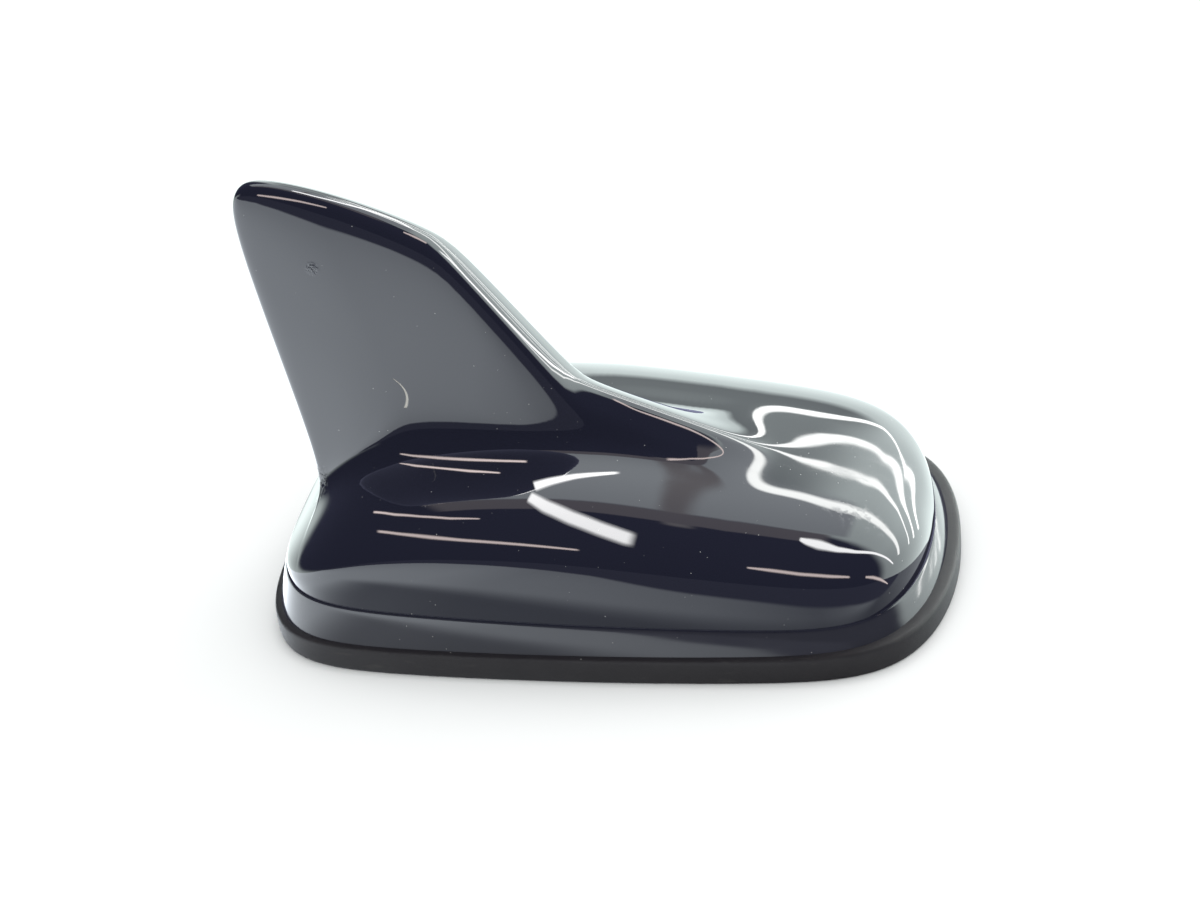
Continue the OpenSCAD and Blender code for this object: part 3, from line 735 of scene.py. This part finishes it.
def rounded_box_at(bearing, low, high, corner):
    """Points of a box with rounded corners, one on each bearing from its middle."""
    middle, half = (low + high) / 2, (high - low) / 2
    turn = np.linspace(0, np.pi / 2, 40)
    quarter = np.stack([np.cos(turn), np.sin(turn)], -1) * corner + (half - corner)
    ring = np.concatenate(
        [quarter, (quarter * (-1, 1))[::-1], quarter * (-1, -1), (quarter * (1, -1))[::-1]]
    )
    ring = np.concatenate([ring, ring[:1]])
    cuts = np.linspace(0, 1, 30)[:-1, None]
    ring = (ring[:-1, None] * (1 - cuts) + ring[1:, None] * cuts).reshape(-1, 2)
    angle = np.arctan2(ring[:, 1], ring[:, 0])
    order = np.argsort(angle)
    reach = np.interp(bearing, angle[order], np.hypot(*ring[order].T), period=2 * np.pi)
    return middle + reach[:, None] * np.stack([np.cos(bearing), np.sin(bearing)], -1)


# The gasket's lip, the plate's seat and the moat under it, as (side inset, height), and the
# opening's edge, as (height, how much larger than the opening).
GASKET_LIP = [(1.2, 0), (0.25, 0), (0, 0.4), (0, 3.9), (0.1, 4.6), (0.5, 5), (3.2, 5)]
GASKET_SEAT = [(3.2, 5), (3.9, 5), (3.9, 2.5), (6, 2.5)]
GASKET_MOAT = [(11.5, 0), (10, 0), (10, 0.8), (8, 0.8), (8, 0), (2.4, 0)]
OPENING_EDGE = [(2.5, 0.5), (2.5, 0.15), (2.35, 0), (1.2, 0), (0.15, 0), (0, 0.15)]
OPENING_LOW, OPENING_HIGH = np.array([-32.0, -15.0]), np.array([18.0, 15.0])
OPENING_CORNER = 5


def gasket_piece():
    """The gasket: its lip swept round the outline, with the seat, the opening and the moat."""
    u = outline_steps(GASKET_STATIONS)
    middle = (OPENING_LOW + OPENING_HIGH) / 2
    bearing = np.arctan2(*(closed_outline(GASKET_IN, u) - middle).T[::-1])

    def at_height(ring, z):
        return np.concatenate([ring, np.full((len(ring), 1), z)], axis=1)

    def level(inset, z):
        return at_height(closed_outline(inset, u), z)

    def opening(z, grow):
        low, high = OPENING_LOW - grow, OPENING_HIGH + grow
        return at_height(rounded_box_at(bearing, low, high, OPENING_CORNER + grow), z)

    rows = [level((a, a * 1.22), z) for a, z in rounded_profile(GASKET_LIP, 0.45, 6)]
    rows += [level((a, a + 0.95), z) for a, z in rounded_profile(GASKET_SEAT, 0.12, 4)[1:]]
    rows += [opening(z, grow) for z, grow in OPENING_EDGE]
    rows += [level((a, a + 1), z) for a, z in rounded_profile(GASKET_MOAT, 0.2, 4)]
    points = np.stack(rows)
    quads = grid_quads(*points.shape[:2], close_rows=True, close_columns=True)
    add_piece("gasket_lip", points, quads, "gasket_rubber", "base_gasket", 50)


# The stud and the nut: heights below Z = 0 are below the roof.
THREAD_PITCH = 1.25
STUD_STEPS = 48
STUD_RADIUS = 5
STUD_CUT = 0.68
STUD_END = -16
STUD_PILOT = [(0, -22), (3.0, -22), (3.65, -22), (4.25, -21.4), (4.25, -16.05), (4.65, -16)]
STUD_HEAD = [(5, 5.5), (8, 5.5), (8, 7.5), (3, 7.5)]
STUD_TOP = [(2.6, 7.3), (0, 7.3)]
NUT_STEPS = 120
NUT_FLAT = 8.5
NUT_CONE = 9.95
NUT_LOW = -13.7
NUT_FLANGE = [(-5.2, 5.6), (-5.2, 12), (-6.0, 12), (-7.2, 9.8)]


def around(steps):
    """Angles once round."""
    return np.linspace(0, 2 * np.pi, steps, endpoint=False)


def round_rows(radius, height, angle):
    """Rows of points round an upright line, from a radius and a height for each row or point."""
    radius, height = radius + 0 * angle, height + 0 * angle
    return np.stack([radius * np.cos(angle), radius * np.sin(angle), height], -1)


def turned(profile, steps):
    """A profile of (radius, height) carried round an upright line."""
    profile = np.asarray(profile, float)
    return round_rows(profile[:, :1], profile[:, 1:], around(steps))


def thread_depth(z, angle):
    """0 on the crest and 1 in the root of a V thread that climbs one pitch in a turn."""
    phase = (z / THREAD_PITCH - angle / (2 * np.pi)) % 1
    return np.clip(1.25 * (1 - 2 * np.abs(phase - 0.5)) - 0.12, 0, 1)


def stud_piece():
    """The stud: flange, threaded shank with runouts, and the plain pilot with its chamfer."""
    height = np.concatenate([np.linspace(STUD_END, -2.5, 240), np.linspace(-2.4, 5.5, 40)])[:, None]
    angle = around(STUD_STEPS)
    runout = ease((height + 15.9) / 0.9) * ease((1.8 - height) / 1.2)
    chamfer = 0.35 * (1 - ease((height - STUD_END) / 0.5))
    radius = STUD_RADIUS - STUD_CUT * thread_depth(height, angle) * runout - chamfer
    head = rounded_profile(STUD_HEAD, 0.12, 4)
    points = np.concatenate(
        [
            turned(STUD_PILOT, STUD_STEPS),
            round_rows(radius, height, angle),
            turned([*head, *STUD_TOP], STUD_STEPS),
        ]
    )
    quads = grid_quads(*points.shape[:2], close_columns=True)
    add_piece("stud_thread", points, quads, "zinc_steel", "roof_stud", 30)


def nut_piece():
    """The flange nut: a hexagon turned off to a cone, on a flange, with its thread."""
    angle = around(NUT_STEPS)
    hexagon = NUT_FLAT / np.cos((angle % (np.pi / 3)) - np.pi / 6)
    levels = [(z, r) for z, r in rounded_profile(NUT_FLANGE, 0.15, 4)]
    for z in np.linspace(NUT_FLANGE[-1][0], NUT_LOW, 14):
        levels.append((z, np.minimum(hexagon, NUT_CONE - 1.75 * ease((-12.4 - z) / 1.3))))
    levels += [(NUT_LOW, 7.6), (NUT_LOW, 5.9)]
    for z in np.linspace(-13.3, -5.7, 110):
        levels.append((z, 5.05 + 0.35 * (1 - thread_depth(z, angle))))
    points = np.stack([round_rows(radius, z, angle) for z, radius in levels])
    quads = grid_quads(*points.shape[:2], close_rows=True, close_columns=True)
    add_piece("nut_body", points, quads, "zinc_steel", "flange_nut", 30)


cover_piece()
gasket_piece()
stud_piece()
nut_piece()


# Camera. Distances are millimetres, the focus and the shift are pixels of the photograph.
CAMERA_AZIMUTH = math.radians(13.97)
CAMERA_HEIGHT = math.radians(36.01)
CAMERA_ROLL = math.radians(-7.52)
CAMERA_FAR = 439.9
CAMERA_FOCUS = 2386.8
CAMERA_SHIFT = (-21.69, 108.28)
IMAGE_WIDTH = 1200
SENSOR_WIDTH = 36


def unit(v):
    """A vector made one long."""
    return np.asarray(v, float) / np.linalg.norm(v)


towards_camera = np.array(
    [
        math.sin(CAMERA_AZIMUTH) * math.cos(CAMERA_HEIGHT),
        -math.cos(CAMERA_AZIMUTH) * math.cos(CAMERA_HEIGHT),
        math.sin(CAMERA_HEIGHT),
    ]
)
level_right = np.array([math.cos(CAMERA_AZIMUTH), math.sin(CAMERA_AZIMUTH), 0])
level_up = np.cross(towards_camera, level_right)
image_right = math.cos(CAMERA_ROLL) * level_right + math.sin(CAMERA_ROLL) * level_up
image_up = -math.sin(CAMERA_ROLL) * level_right + math.cos(CAMERA_ROLL) * level_up


def add_camera():
    """The photograph's camera; its shift puts the part's origin where the photograph has it."""
    data = bpy.data.cameras.new("photo_camera")
    data.sensor_width = SENSOR_WIDTH
    data.lens = SENSOR_WIDTH * CAMERA_FOCUS / IMAGE_WIDTH
    data.shift_x = CAMERA_SHIFT[0] / IMAGE_WIDTH
    data.shift_y = CAMERA_SHIFT[1] / IMAGE_WIDTH
    data.clip_start, data.clip_end = 0.01, 200
    made = bpy.data.objects.new("photo_camera", data)
    axes = np.eye(4)
    place = towards_camera * CAMERA_FAR * MM
    axes[:3] = np.stack([image_right, image_up, towards_camera, place], 1)
    made.matrix_world = axes.T.tolist()
    bpy.context.scene.collection.objects.link(made)
    bpy.context.scene.camera = made


add_camera()

# What the gloss reflects. This room leans, so it has its own up, right and away.
ROOM_UP = unit([0.010, 0.497, 0.868])
ROOM_RIGHT = unit(image_right - (image_right @ ROOM_UP) * ROOM_UP)
ROOM_AWAY = np.cross(ROOM_UP, ROOM_RIGHT)
ROOM_RADIUS = 30000
CEILING_RADIUS = 25000
SHEET_POINT = np.array([-3.0, -36.0, 0.0])
# A ray that has met gloss more often than this gets one even tone.
SECOND_IMAGE = 1.5
SECOND_IMAGE_TONE = (1.1, 1.15, 1.7, 1)
DARK_ROOM = np.array([0.08, 0.085, 0.14])
PALE_ROOM = np.array([0.93, 1.04, 1.02])
DARK_SHEET = np.array([0.25, 0.26, 0.36])
PALE_SHEET = np.array([0.93, 1.0, 1.06])

# Tables of (places, values). The room's are in degrees: the light of its bright side by height,
# from the side and from behind, and the top of the low left side by bearing, and its light.
SIDE_LIGHT = ([-60, 0, 20, 40, 76, 84], [3.5, 3.7, 4.1, 5.0, 4.6, 3.2])
BACK_LIGHT = (
    [-60, 10, 20, 35, 44, 49, 54, 58, 63, 68, 76, 90],
    [2.6, 2.3, 2.7, 3.9, 4.2, 1.2, 1.5, 2.3, 2.4, 1.6, 2.2, 2.4],
)
LOW_LEFT_TOP = ([-180, -150, -135, -108, -70], [48, 17, 14, 2, -6])
LOW_LEFT_LIGHT = ([-40, -8, 6, 16], [3.2, 3.4, 2.2, 1.5])
# The sheet's are in millimetres to the right: its near edge and its light.
SHEET_EDGE = (
    [-135, -100, -70, -50, -30, -12, 0, 7, 14, 27, 40, 60, 84, 120, 240],
    [-75, -72, -71, -66, -58, -50, -39, -34, -31, -28, -24, -20, -9, 0, 30],
)
SHEET_LIGHT = (
    [-200, -120, -90, -60, -40, -25, 0, 20, 45, 65, 90, 130, 200],
    [4.2, 4.0, 3.8, 3.6, 3.3, 2.5, 2.15, 1.8, 1.0, 1.7, 2.5, 3.3, 3.5],
)
# Pale panels straight overhead with a darker post between them, by slope from straight up:
# lean, (from, to, soft edge) to the right, the same to the back, and the light.
OVERHEAD_PANELS = [
    (0, (-0.5, 0.42, 0.08), (-0.05, 0.36, 0.06), (2.7, 2.9, 3.0)),
    (0.13, (0.034, 0.056, 0.012), (-0.3, 0.3, 0.06), (1.5, 1.4, 1.35)),
    (0, (-0.5, 0.3, 0.08), (-0.24, -0.05, 0.03), (1.1, 1.0, 1.0)),
]


def glowing(name, soft):
    """A glow in the glow attribute's colours; a soft one is clear where its alpha is 0."""
    f = Finish(name)
    glow = f.node("ShaderNodeAttribute", {"attribute_name": "glow"}, output="Color")
    depth = f.node("ShaderNodeLightPath", {}, output="Glossy Depth")
    again = depth.math("GREATER_THAN", depth, SECOND_IMAGE)
    shader = f.node("ShaderNodeEmission", {}, f.mix(again, glow, SECOND_IMAGE_TONE))
    if soft:
        clear = f.node("ShaderNodeBsdfTransparent", {})
        shader = f.node("ShaderNodeMixShader", {}, glow.other("Alpha"), clear, shader)
    f.material.cycles.emission_sampling = "NONE"
    return f.closed(shader)


def reflected_only(name, place, glow, soft=False):
    """A grid of points that nothing but gloss sees, with a glow colour at each point."""
    made = add_mesh(name, place.reshape(-1, 3), grid_quads(*place.shape[:2]))
    layer = made.data.color_attributes.new("glow", "FLOAT_COLOR", "POINT")
    filled = np.ones((*place.shape[:2], 4), np.float32)
    filled[..., : glow.shape[-1]] = glow
    layer.data.foreach_set("color", filled.ravel())
    made.data.materials.append(glowing(name, soft))
    made.data.shade_smooth()
    made.visible_camera = False
    made.visible_diffuse = False
    made.visible_shadow = False
    made.visible_transmission = False
    made.visible_volume_scatter = False


def window(value, low, high, soft):
    """1 between low and high, with soft edges."""
    return ease((value - low) / soft + 0.5) * ease((high - value) / soft + 0.5)


def room_glow(bearing, height):
    """Light of the studio by direction in degrees; bearing 0 is the camera and 90 the right."""
    glow = DARK_ROOM + 0 * bearing[..., None]

    def lay(share, tint):
        nonlocal glow
        glow = glow + share[..., None] * (np.asarray(tint, float) - glow)

    def sector(middle, half, soft):
        """1 round a bearing and 0 from half a width away, with a soft edge."""
        return ease((half - np.abs((bearing - middle + 180) % 360 - 180)) / soft)

    # the bright side, to the right and away from the camera, in level bands where it lies behind
    side = np.interp(height, *SIDE_LIGHT)
    level = side + sector(170, 34, 22) * (np.interp(height, *BACK_LIGHT) - side)
    lay(sector(136, 68, 14) * ease((88 - height) / 6), level[..., None] * PALE_ROOM)
    # the low left side, which reaches higher towards the back
    below = ease((np.interp(bearing, *LOW_LEFT_TOP) - height) / 7 + 0.5)
    left = ease((-bearing - 58) / 16) * ease((bearing + 180) / 14)
    lay(below * left, np.interp(height, *LOW_LEFT_LIGHT)[..., None] * PALE_ROOM)
    slope = np.tan(np.radians(90 - np.clip(height, 20, 90)))
    right, back = slope * np.sin(np.radians(bearing)), -slope * np.cos(np.radians(bearing))
    for lean, across, along, tint in OVERHEAD_PANELS:
        lay(window(right - lean * back, *across) * window(back, *along), tint)
    return glow


def add_room():
    """A dome, 60 m across, whose glow changes with direction."""
    heights = np.concatenate([np.linspace(-90, 38, 65), np.linspace(40, 90, 140)])
    bearing, height = np.meshgrid(np.linspace(-180, 180, 361), heights)
    a, e = np.radians(bearing), np.radians(height)
    place = (
        (np.cos(e) * np.sin(a))[..., None] * ROOM_RIGHT
        - (np.cos(e) * np.cos(a))[..., None] * ROOM_AWAY
        + np.sin(e)[..., None] * ROOM_UP
    )
    reflected_only("room", place * ROOM_RADIUS, room_glow(bearing, height))


def add_sheet():
    """The white sheet in front and at the left of the part, brighter to the left."""
    right, away = np.meshgrid(np.linspace(-420, 320, 371), np.linspace(-120, 300, 281))
    place = SHEET_POINT + right[..., None] * ROOM_RIGHT + away[..., None] * ROOM_AWAY
    light = np.interp(right, *SHEET_LIGHT) * (0.75 + 0.25 * ease((away + 70) / 50))
    light = light + 0.4 * ease((away + 20) / 30) * ease((-right - 60) / 30)
    # the part shades what lies under it and behind it
    light = light * (1 - 0.72 * ease((away + 16) / 8) * ease((right + 75) / 30))
    shown = ease((away - np.interp(right, *SHEET_EDGE)) / 5 + 0.5)
    glow = DARK_SHEET + shown[..., None] * (light[..., None] * PALE_SHEET - DARK_SHEET)
    reflected_only("sheet", place, glow)


# Lamp tubes overhead, by slope from straight up: (to the right, nearest edge, farthest edge).
CEILING_LAMPS = {
    "tube_far": [
        (0.14, 0.62, 0.67), (0.17, 0.605, 0.665), (0.205, 0.58, 0.64), (0.24, 0.587, 0.645),
        (0.297, 0.612, 0.66), (0.44, 0.70, 0.75), (0.584, 0.775, 0.825), (0.84, 0.72, 0.755),
        (1.0, 0.77, 0.81), (1.37, 1.06, 1.11), (2.8, 2.0, 2.1),
    ],
    "tube_second": [
        (0.12, 0.468, 0.486), (0.203, 0.473, 0.493), (0.264, 0.479, 0.499), (0.41, 0.501, 0.522),
        (0.59, 0.542, 0.56), (0.98, 0.71, 0.75), (1.4, 0.92, 0.96), (2.8, 1.5, 1.6),
    ],
    "tube_third": [
        (0.10, 0.40, 0.412), (0.224, 0.429, 0.443), (0.297, 0.432, 0.443), (0.45, 0.457, 0.469),
        (0.73, 0.545, 0.562), (0.97, 0.63, 0.655), (1.5, 0.74, 0.77), (2.8, 1.1, 1.17),
    ],
    "tube_fourth": [
        (0.12, 0.315, 0.34), (0.18, 0.32, 0.36), (0.273, 0.275, 0.338), (0.50, 0.274, 0.35),
        (0.97, 0.25, 0.344), (1.5, 0.27, 0.37), (2.8, 0.32, 0.44),
    ],
}
TUBE_LIGHT = (15, 15.3, 15)
TUBE_STEPS = 200
HUNG_STEPS = 90
SMOOTHING = 11


def ribbon(edges, steps):
    """Stations along a band, evenly spaced and smoothed by a running mean with a bell's weights.

    Each station keeps its numbers: a place and two edges overhead, or two points on a hung lamp.
    """
    edges = np.asarray(edges, float)
    run = np.concatenate([[0], np.cumsum(np.linalg.norm(np.diff(edges, axis=0), axis=1))])
    t = np.linspace(0, run[-1], steps)
    kernel = np.hanning(SMOOTHING) / np.hanning(SMOOTHING).sum()
    rows = [np.pad(np.interp(t, run, numbers), SMOOTHING // 2, mode="edge") for numbers in edges.T]
    return np.stack([np.convolve(row, kernel, "valid") for row in rows], -1)


def overhead(right, away):
    """The place on the ceiling in the direction (right, away, 1) of the room."""
    heading = right[..., None] * ROOM_RIGHT + away[..., None] * ROOM_AWAY + ROOM_UP
    return CEILING_RADIUS * heading / np.linalg.norm(heading, axis=-1, keepdims=True)


def add_tubes():
    """The tubes as glowing bands that are clear at their soft edges and at their start."""
    across = np.linspace(-0.15, 1.15, 9)
    for name, edges in CEILING_LAMPS.items():
        right, near, far = ribbon(edges, TUBE_STEPS).T[..., None]
        away = near + (far - near) * across
        start = ease(np.arange(TUBE_STEPS) / 3)[:, None]
        glow = np.empty((*away.shape, 4))
        glow[..., :3] = TUBE_LIGHT
        glow[..., 3] = window(across, 0.0, 1.0, 0.3) * start
        reflected_only(name, overhead(right + 0 * away, away), glow, soft=True)


# Lamps that hang 1 mm from the cover: stations with two edges, (x, y, z, x, y, z) in millimetres.
HUNG_LAMPS = {
    "lamp_corner_near": [
        (-9.8, -19.2, 29.6, -10.3, -21.1, 29.3), (-6.4, -21.1, 29.2, -7, -23.5, 28.5),
        (-1.7, -23.1, 28.3, -2.3, -25.5, 27.5), (3.6, -24.8, 27.1, 3.1, -27.1, 26.1),
        (8, -25.9, 26.1, 7.5, -28.1, 24.9), (10.2, -26.3, 25.6, 9.8, -28.3, 24.4),
    ],
    "lamp_corner_far": [
        (-9.9, -16.9, 29.9, -9.1, -19, 29.6), (-7.1, -15.5, 30, -6.4, -17.2, 29.8),
        (-2.8, -14, 29.8, -2.4, -15.2, 29.7), (1.5, -12.9, 29.4, 1.7, -13.7, 29.4),
        (5.2, -12, 29, 5.3, -12.5, 29),
    ],
    "line_fillet_a": [
        (-36, -10, 30.7, -36, -10.1, 30.6), (-33.1, -10.4, 30.9, -33.1, -10.6, 30.7),
        (-27.8, -10.6, 30.9, -27.7, -11, 30.7), (-22.2, -10.8, 30.7, -22.1, -11.3, 30.6),
        (-16.7, -11, 30.6, -16.6, -11.5, 30.5), (-11.5, -11.1, 30.5, -11.4, -11.5, 30.5),
    ],
    "line_fillet_b": [
        (-35.8, -11.2, 29.8, -35.7, -11.3, 29.7), (-32.2, -11.9, 30.1, -32.2, -12.3, 29.9),
        (-27.3, -12.7, 30.2, -27.3, -13.1, 30.1), (-21.6, -13.6, 30.2, -21.6, -14.1, 30.2),
        (-15.7, -14.3, 30.2, -15.7, -14.6, 30.2),
    ],
    "line_side_a": [
        (-38.5, -21.2, 26.4, -38.5, -21.6, 26.3), (-33.8, -22.9, 27.3, -33.7, -23.4, 27.1),
        (-28.9, -24, 27.7, -28.8, -24.4, 27.5), (-23.3, -24.8, 27.8, -23.2, -25.2, 27.7),
        (-17.5, -25.1, 28, -17.5, -25.3, 27.9),
    ],
    "line_side_b": [
        (-37.2, -25.5, 25.3, -37.2, -25.9, 25.1), (-32.2, -26.9, 25.7, -32.2, -27.3, 25.4),
        (-26.5, -27.9, 25.8, -26.6, -28.4, 25.4), (-21, -28.6, 25.6, -21.1, -29, 25.3),
        (-10.3, -29.3, 25.2, -10.4, -29.6, 24.9), (0.5, -29.7, 24.3, 0.5, -29.9, 24.1),
    ],
    "line_front": [
        (28.2, -29.1, 20.9, 28.2, -29.3, 20.7), (32.4, -28.8, 20.3, 32.4, -29.2, 19.9),
        (37.5, -28.5, 19.3, 37.4, -28.9, 18.9), (42.6, -27.6, 18.2, 42.6, -28, 17.8),
        (46.2, -26.5, 17.1, 46.2, -26.7, 16.8),
    ],
    "line_nose": [
        (48.6, -25.3, 16.2, 48.5, -25.5, 15.9), (49.9, -24.4, 15.5, 49.8, -24.8, 15.1),
        (51.1, -23.7, 14.4, 50.9, -24.1, 14.1), (52.3, -23, 12.5, 52.2, -23.1, 12.4),
    ],
    "tube_near": [
        (36.7, -21.9, 22.6, 36.6, -22.4, 22.5), (38.1, -21.8, 22.3, 37.9, -23.1, 22),
        (40.4, -21.6, 21.8, 40.1, -23.5, 21.3), (43.4, -22.1, 20.7, 43.3, -23.2, 20.4),
        (46.6, -21.6, 19.6, 46.6, -22.2, 19.4), (49.7, -20.3, 18.3, 49.6, -20.8, 18.1),
        (51.8, -19.8, 16.6, 51.7, -20.2, 16.6), (53.1, -19.9, 14.7, 53, -20.1, 14.7),
    ],
    "line_hook": [
        (2.4, -0.4, 36.8, 2.4, -0.8, 36.8), (6.8, -1.3, 34.8, 6.7, -1.6, 34.7),
        (11.7, -1.2, 32.7, 11.7, -1.6, 32.6), (16.3, -1.3, 30.7, 16.3, -1.7, 30.6),
        (19, -1.8, 29.5, 18.9, -2.1, 29.4), (20.7, -2.4, 28.6, 20.6, -2.7, 28.5),
        (22, -3.2, 27.9, 21.8, -3.5, 27.9), (22.4, -4, 27.5, 22.2, -4, 27.6),
        (21.5, -5.2, 27.5, 21.4, -5, 27.6), (18.5, -6.8, 28.1, 18.5, -6.5, 28.2),
        (15.4, -7.6, 28.4, 15.4, -7.4, 28.6), (12, -8.1, 28.7, 11.9, -7.8, 28.9),
    ],
    "line_top_rear": [
        (-54.8, -2.9, 77.5, -54.8, -2.9, 77.2), (-51.3, -3, 77.2, -51.4, -3.2, 76.8),
        (-46.8, -3.1, 76.6, -47, -3.2, 76.2), (-42, -2.9, 75.5, -42.1, -3.1, 75.2),
    ],
    "line_top_front": [
        (-29.4, -1.6, 70.7, -29.4, -1.9, 70.6), (-27.4, -1.4, 69.6, -27.4, -1.9, 69.6),
        (-25.4, -1.5, 68.3, -25.4, -1.8, 68.3),
    ],
    "tube_edge": [
        (-23.7, -1.3, 67, -23.8, -1.5, 67), (-22.1, -1.3, 65.2, -22.2, -1.7, 65.2),
        (-18.6, -1.6, 60.5, -18.7, -2, 60.6), (-14.2, -1.7, 54.2, -14.3, -2.1, 54.3),
        (-9.8, -1.5, 47.9, -9.9, -2, 47.9), (-6.6, -1, 43.4, -6.6, -1.5, 43.4),
        (-3.1, 0.7, 39.4, -3, 0.5, 39.5),
    ],
    "tube_rim": [
        (-48.6, -0.4, 78.3, -48.6, -0.6, 78.4), (-44.3, -0.3, 77.1, -44.3, -0.6, 77.1),
        (-39.4, 0.2, 75.3, -39.3, -0.1, 75.3), (-35.1, 0.8, 73.3, -35, 0.5, 73.4),
        (-30.8, 1, 71.3, -30.8, 0.7, 71.4), (-27.6, 0.2, 69.8, -27.6, 0, 69.8),
    ],
}
# By the first word of a lamp's name: light, softness of the edges, steps over which the end fades.
HUNG_LOOKS = {
    "line": ((12, 12 * 0.84, 12 * 0.8), 0.7, 3),
    "lamp": ((20, 20, 20), 0.35, 9),
    "tube": ((20, 20, 20), 0.35, 3),
}


def add_hung_lamp(name, edges, light, soft, fade):
    """A narrow glowing band between two lines through the stations, clear at its ends and edges."""
    line = ribbon(edges, HUNG_STEPS)
    across = np.linspace(-0.4, 1.4, 11)[None, :, None]
    place = line[:, None, :3] * (1 - across) + line[:, None, 3:] * across
    passed = np.linspace(0, HUNG_STEPS, HUNG_STEPS)
    ends = ease(passed / 3) * ease(passed[::-1] / fade)
    glow = np.empty((*place.shape[:2], 4))
    glow[..., :3] = light
    glow[..., 3] = window(across[..., 0], 0, 1, soft) * ends[:, None]
    reflected_only(name, place, glow, soft=True)


add_room()
add_sheet()
add_tubes()
for lamp, stations in HUNG_LAMPS.items():
    add_hung_lamp(lamp, stations, *HUNG_LOOKS[lamp.split("_")[0]])

# Floor, world and light.
FLOOR_DROP = 0.02
FLOOR_RADIUS = 6000


def floor_finish():
    """Pale matte painted board: nearly white and faintly mottled."""
    f = Finish("floor_board")
    base = f.mix(f.noise(60, 3), colour(0.84, 0.85, 0.85), colour(0.88, 0.885, 0.88))
    rough = 0.7 + f.noise(25, 3) * 0.2
    return f.surface(Base_Color=base, Roughness=rough, Specular_IOR_Level=0.0)


def add_floor():
    """A round flat floor, a hair below the gasket's underside."""
    ring = np.concatenate([[0], np.geomspace(5, FLOOR_RADIUS, 40)])
    points = turned(np.stack([ring, np.full(len(ring), -FLOOR_DROP)], -1), 96)
    quads = grid_quads(*points.shape[:2], close_columns=True)
    made = add_mesh("floor", *welded(points, quads))
    made.data.materials.append(floor_finish())
    made.visible_glossy = False


def add_light():
    """A white world and one large soft lamp over the part."""
    world = bpy.data.worlds.new("studio")
    world.use_nodes = True
    background = world.node_tree.nodes["Background"]
    background.inputs["Color"].default_value = (0.985, 1.0, 1.0, 1)
    background.inputs["Strength"].default_value = 1.0
    bpy.context.scene.world = world
    data = bpy.data.lights.new("soft_box", "AREA")
    data.shape = "DISK"
    data.size = 1.6
    data.energy = 12
    lamp = bpy.data.objects.new("soft_box", data)
    lamp.location = (0.3, 0.5, 1.6)
    lamp.rotation_euler = (-0.3, 0.18, 0)
    lamp.visible_glossy = False
    bpy.context.scene.collection.objects.link(lamp)


add_floor()
add_light()
bpy.context.scene.view_settings.view_transform = "Standard"
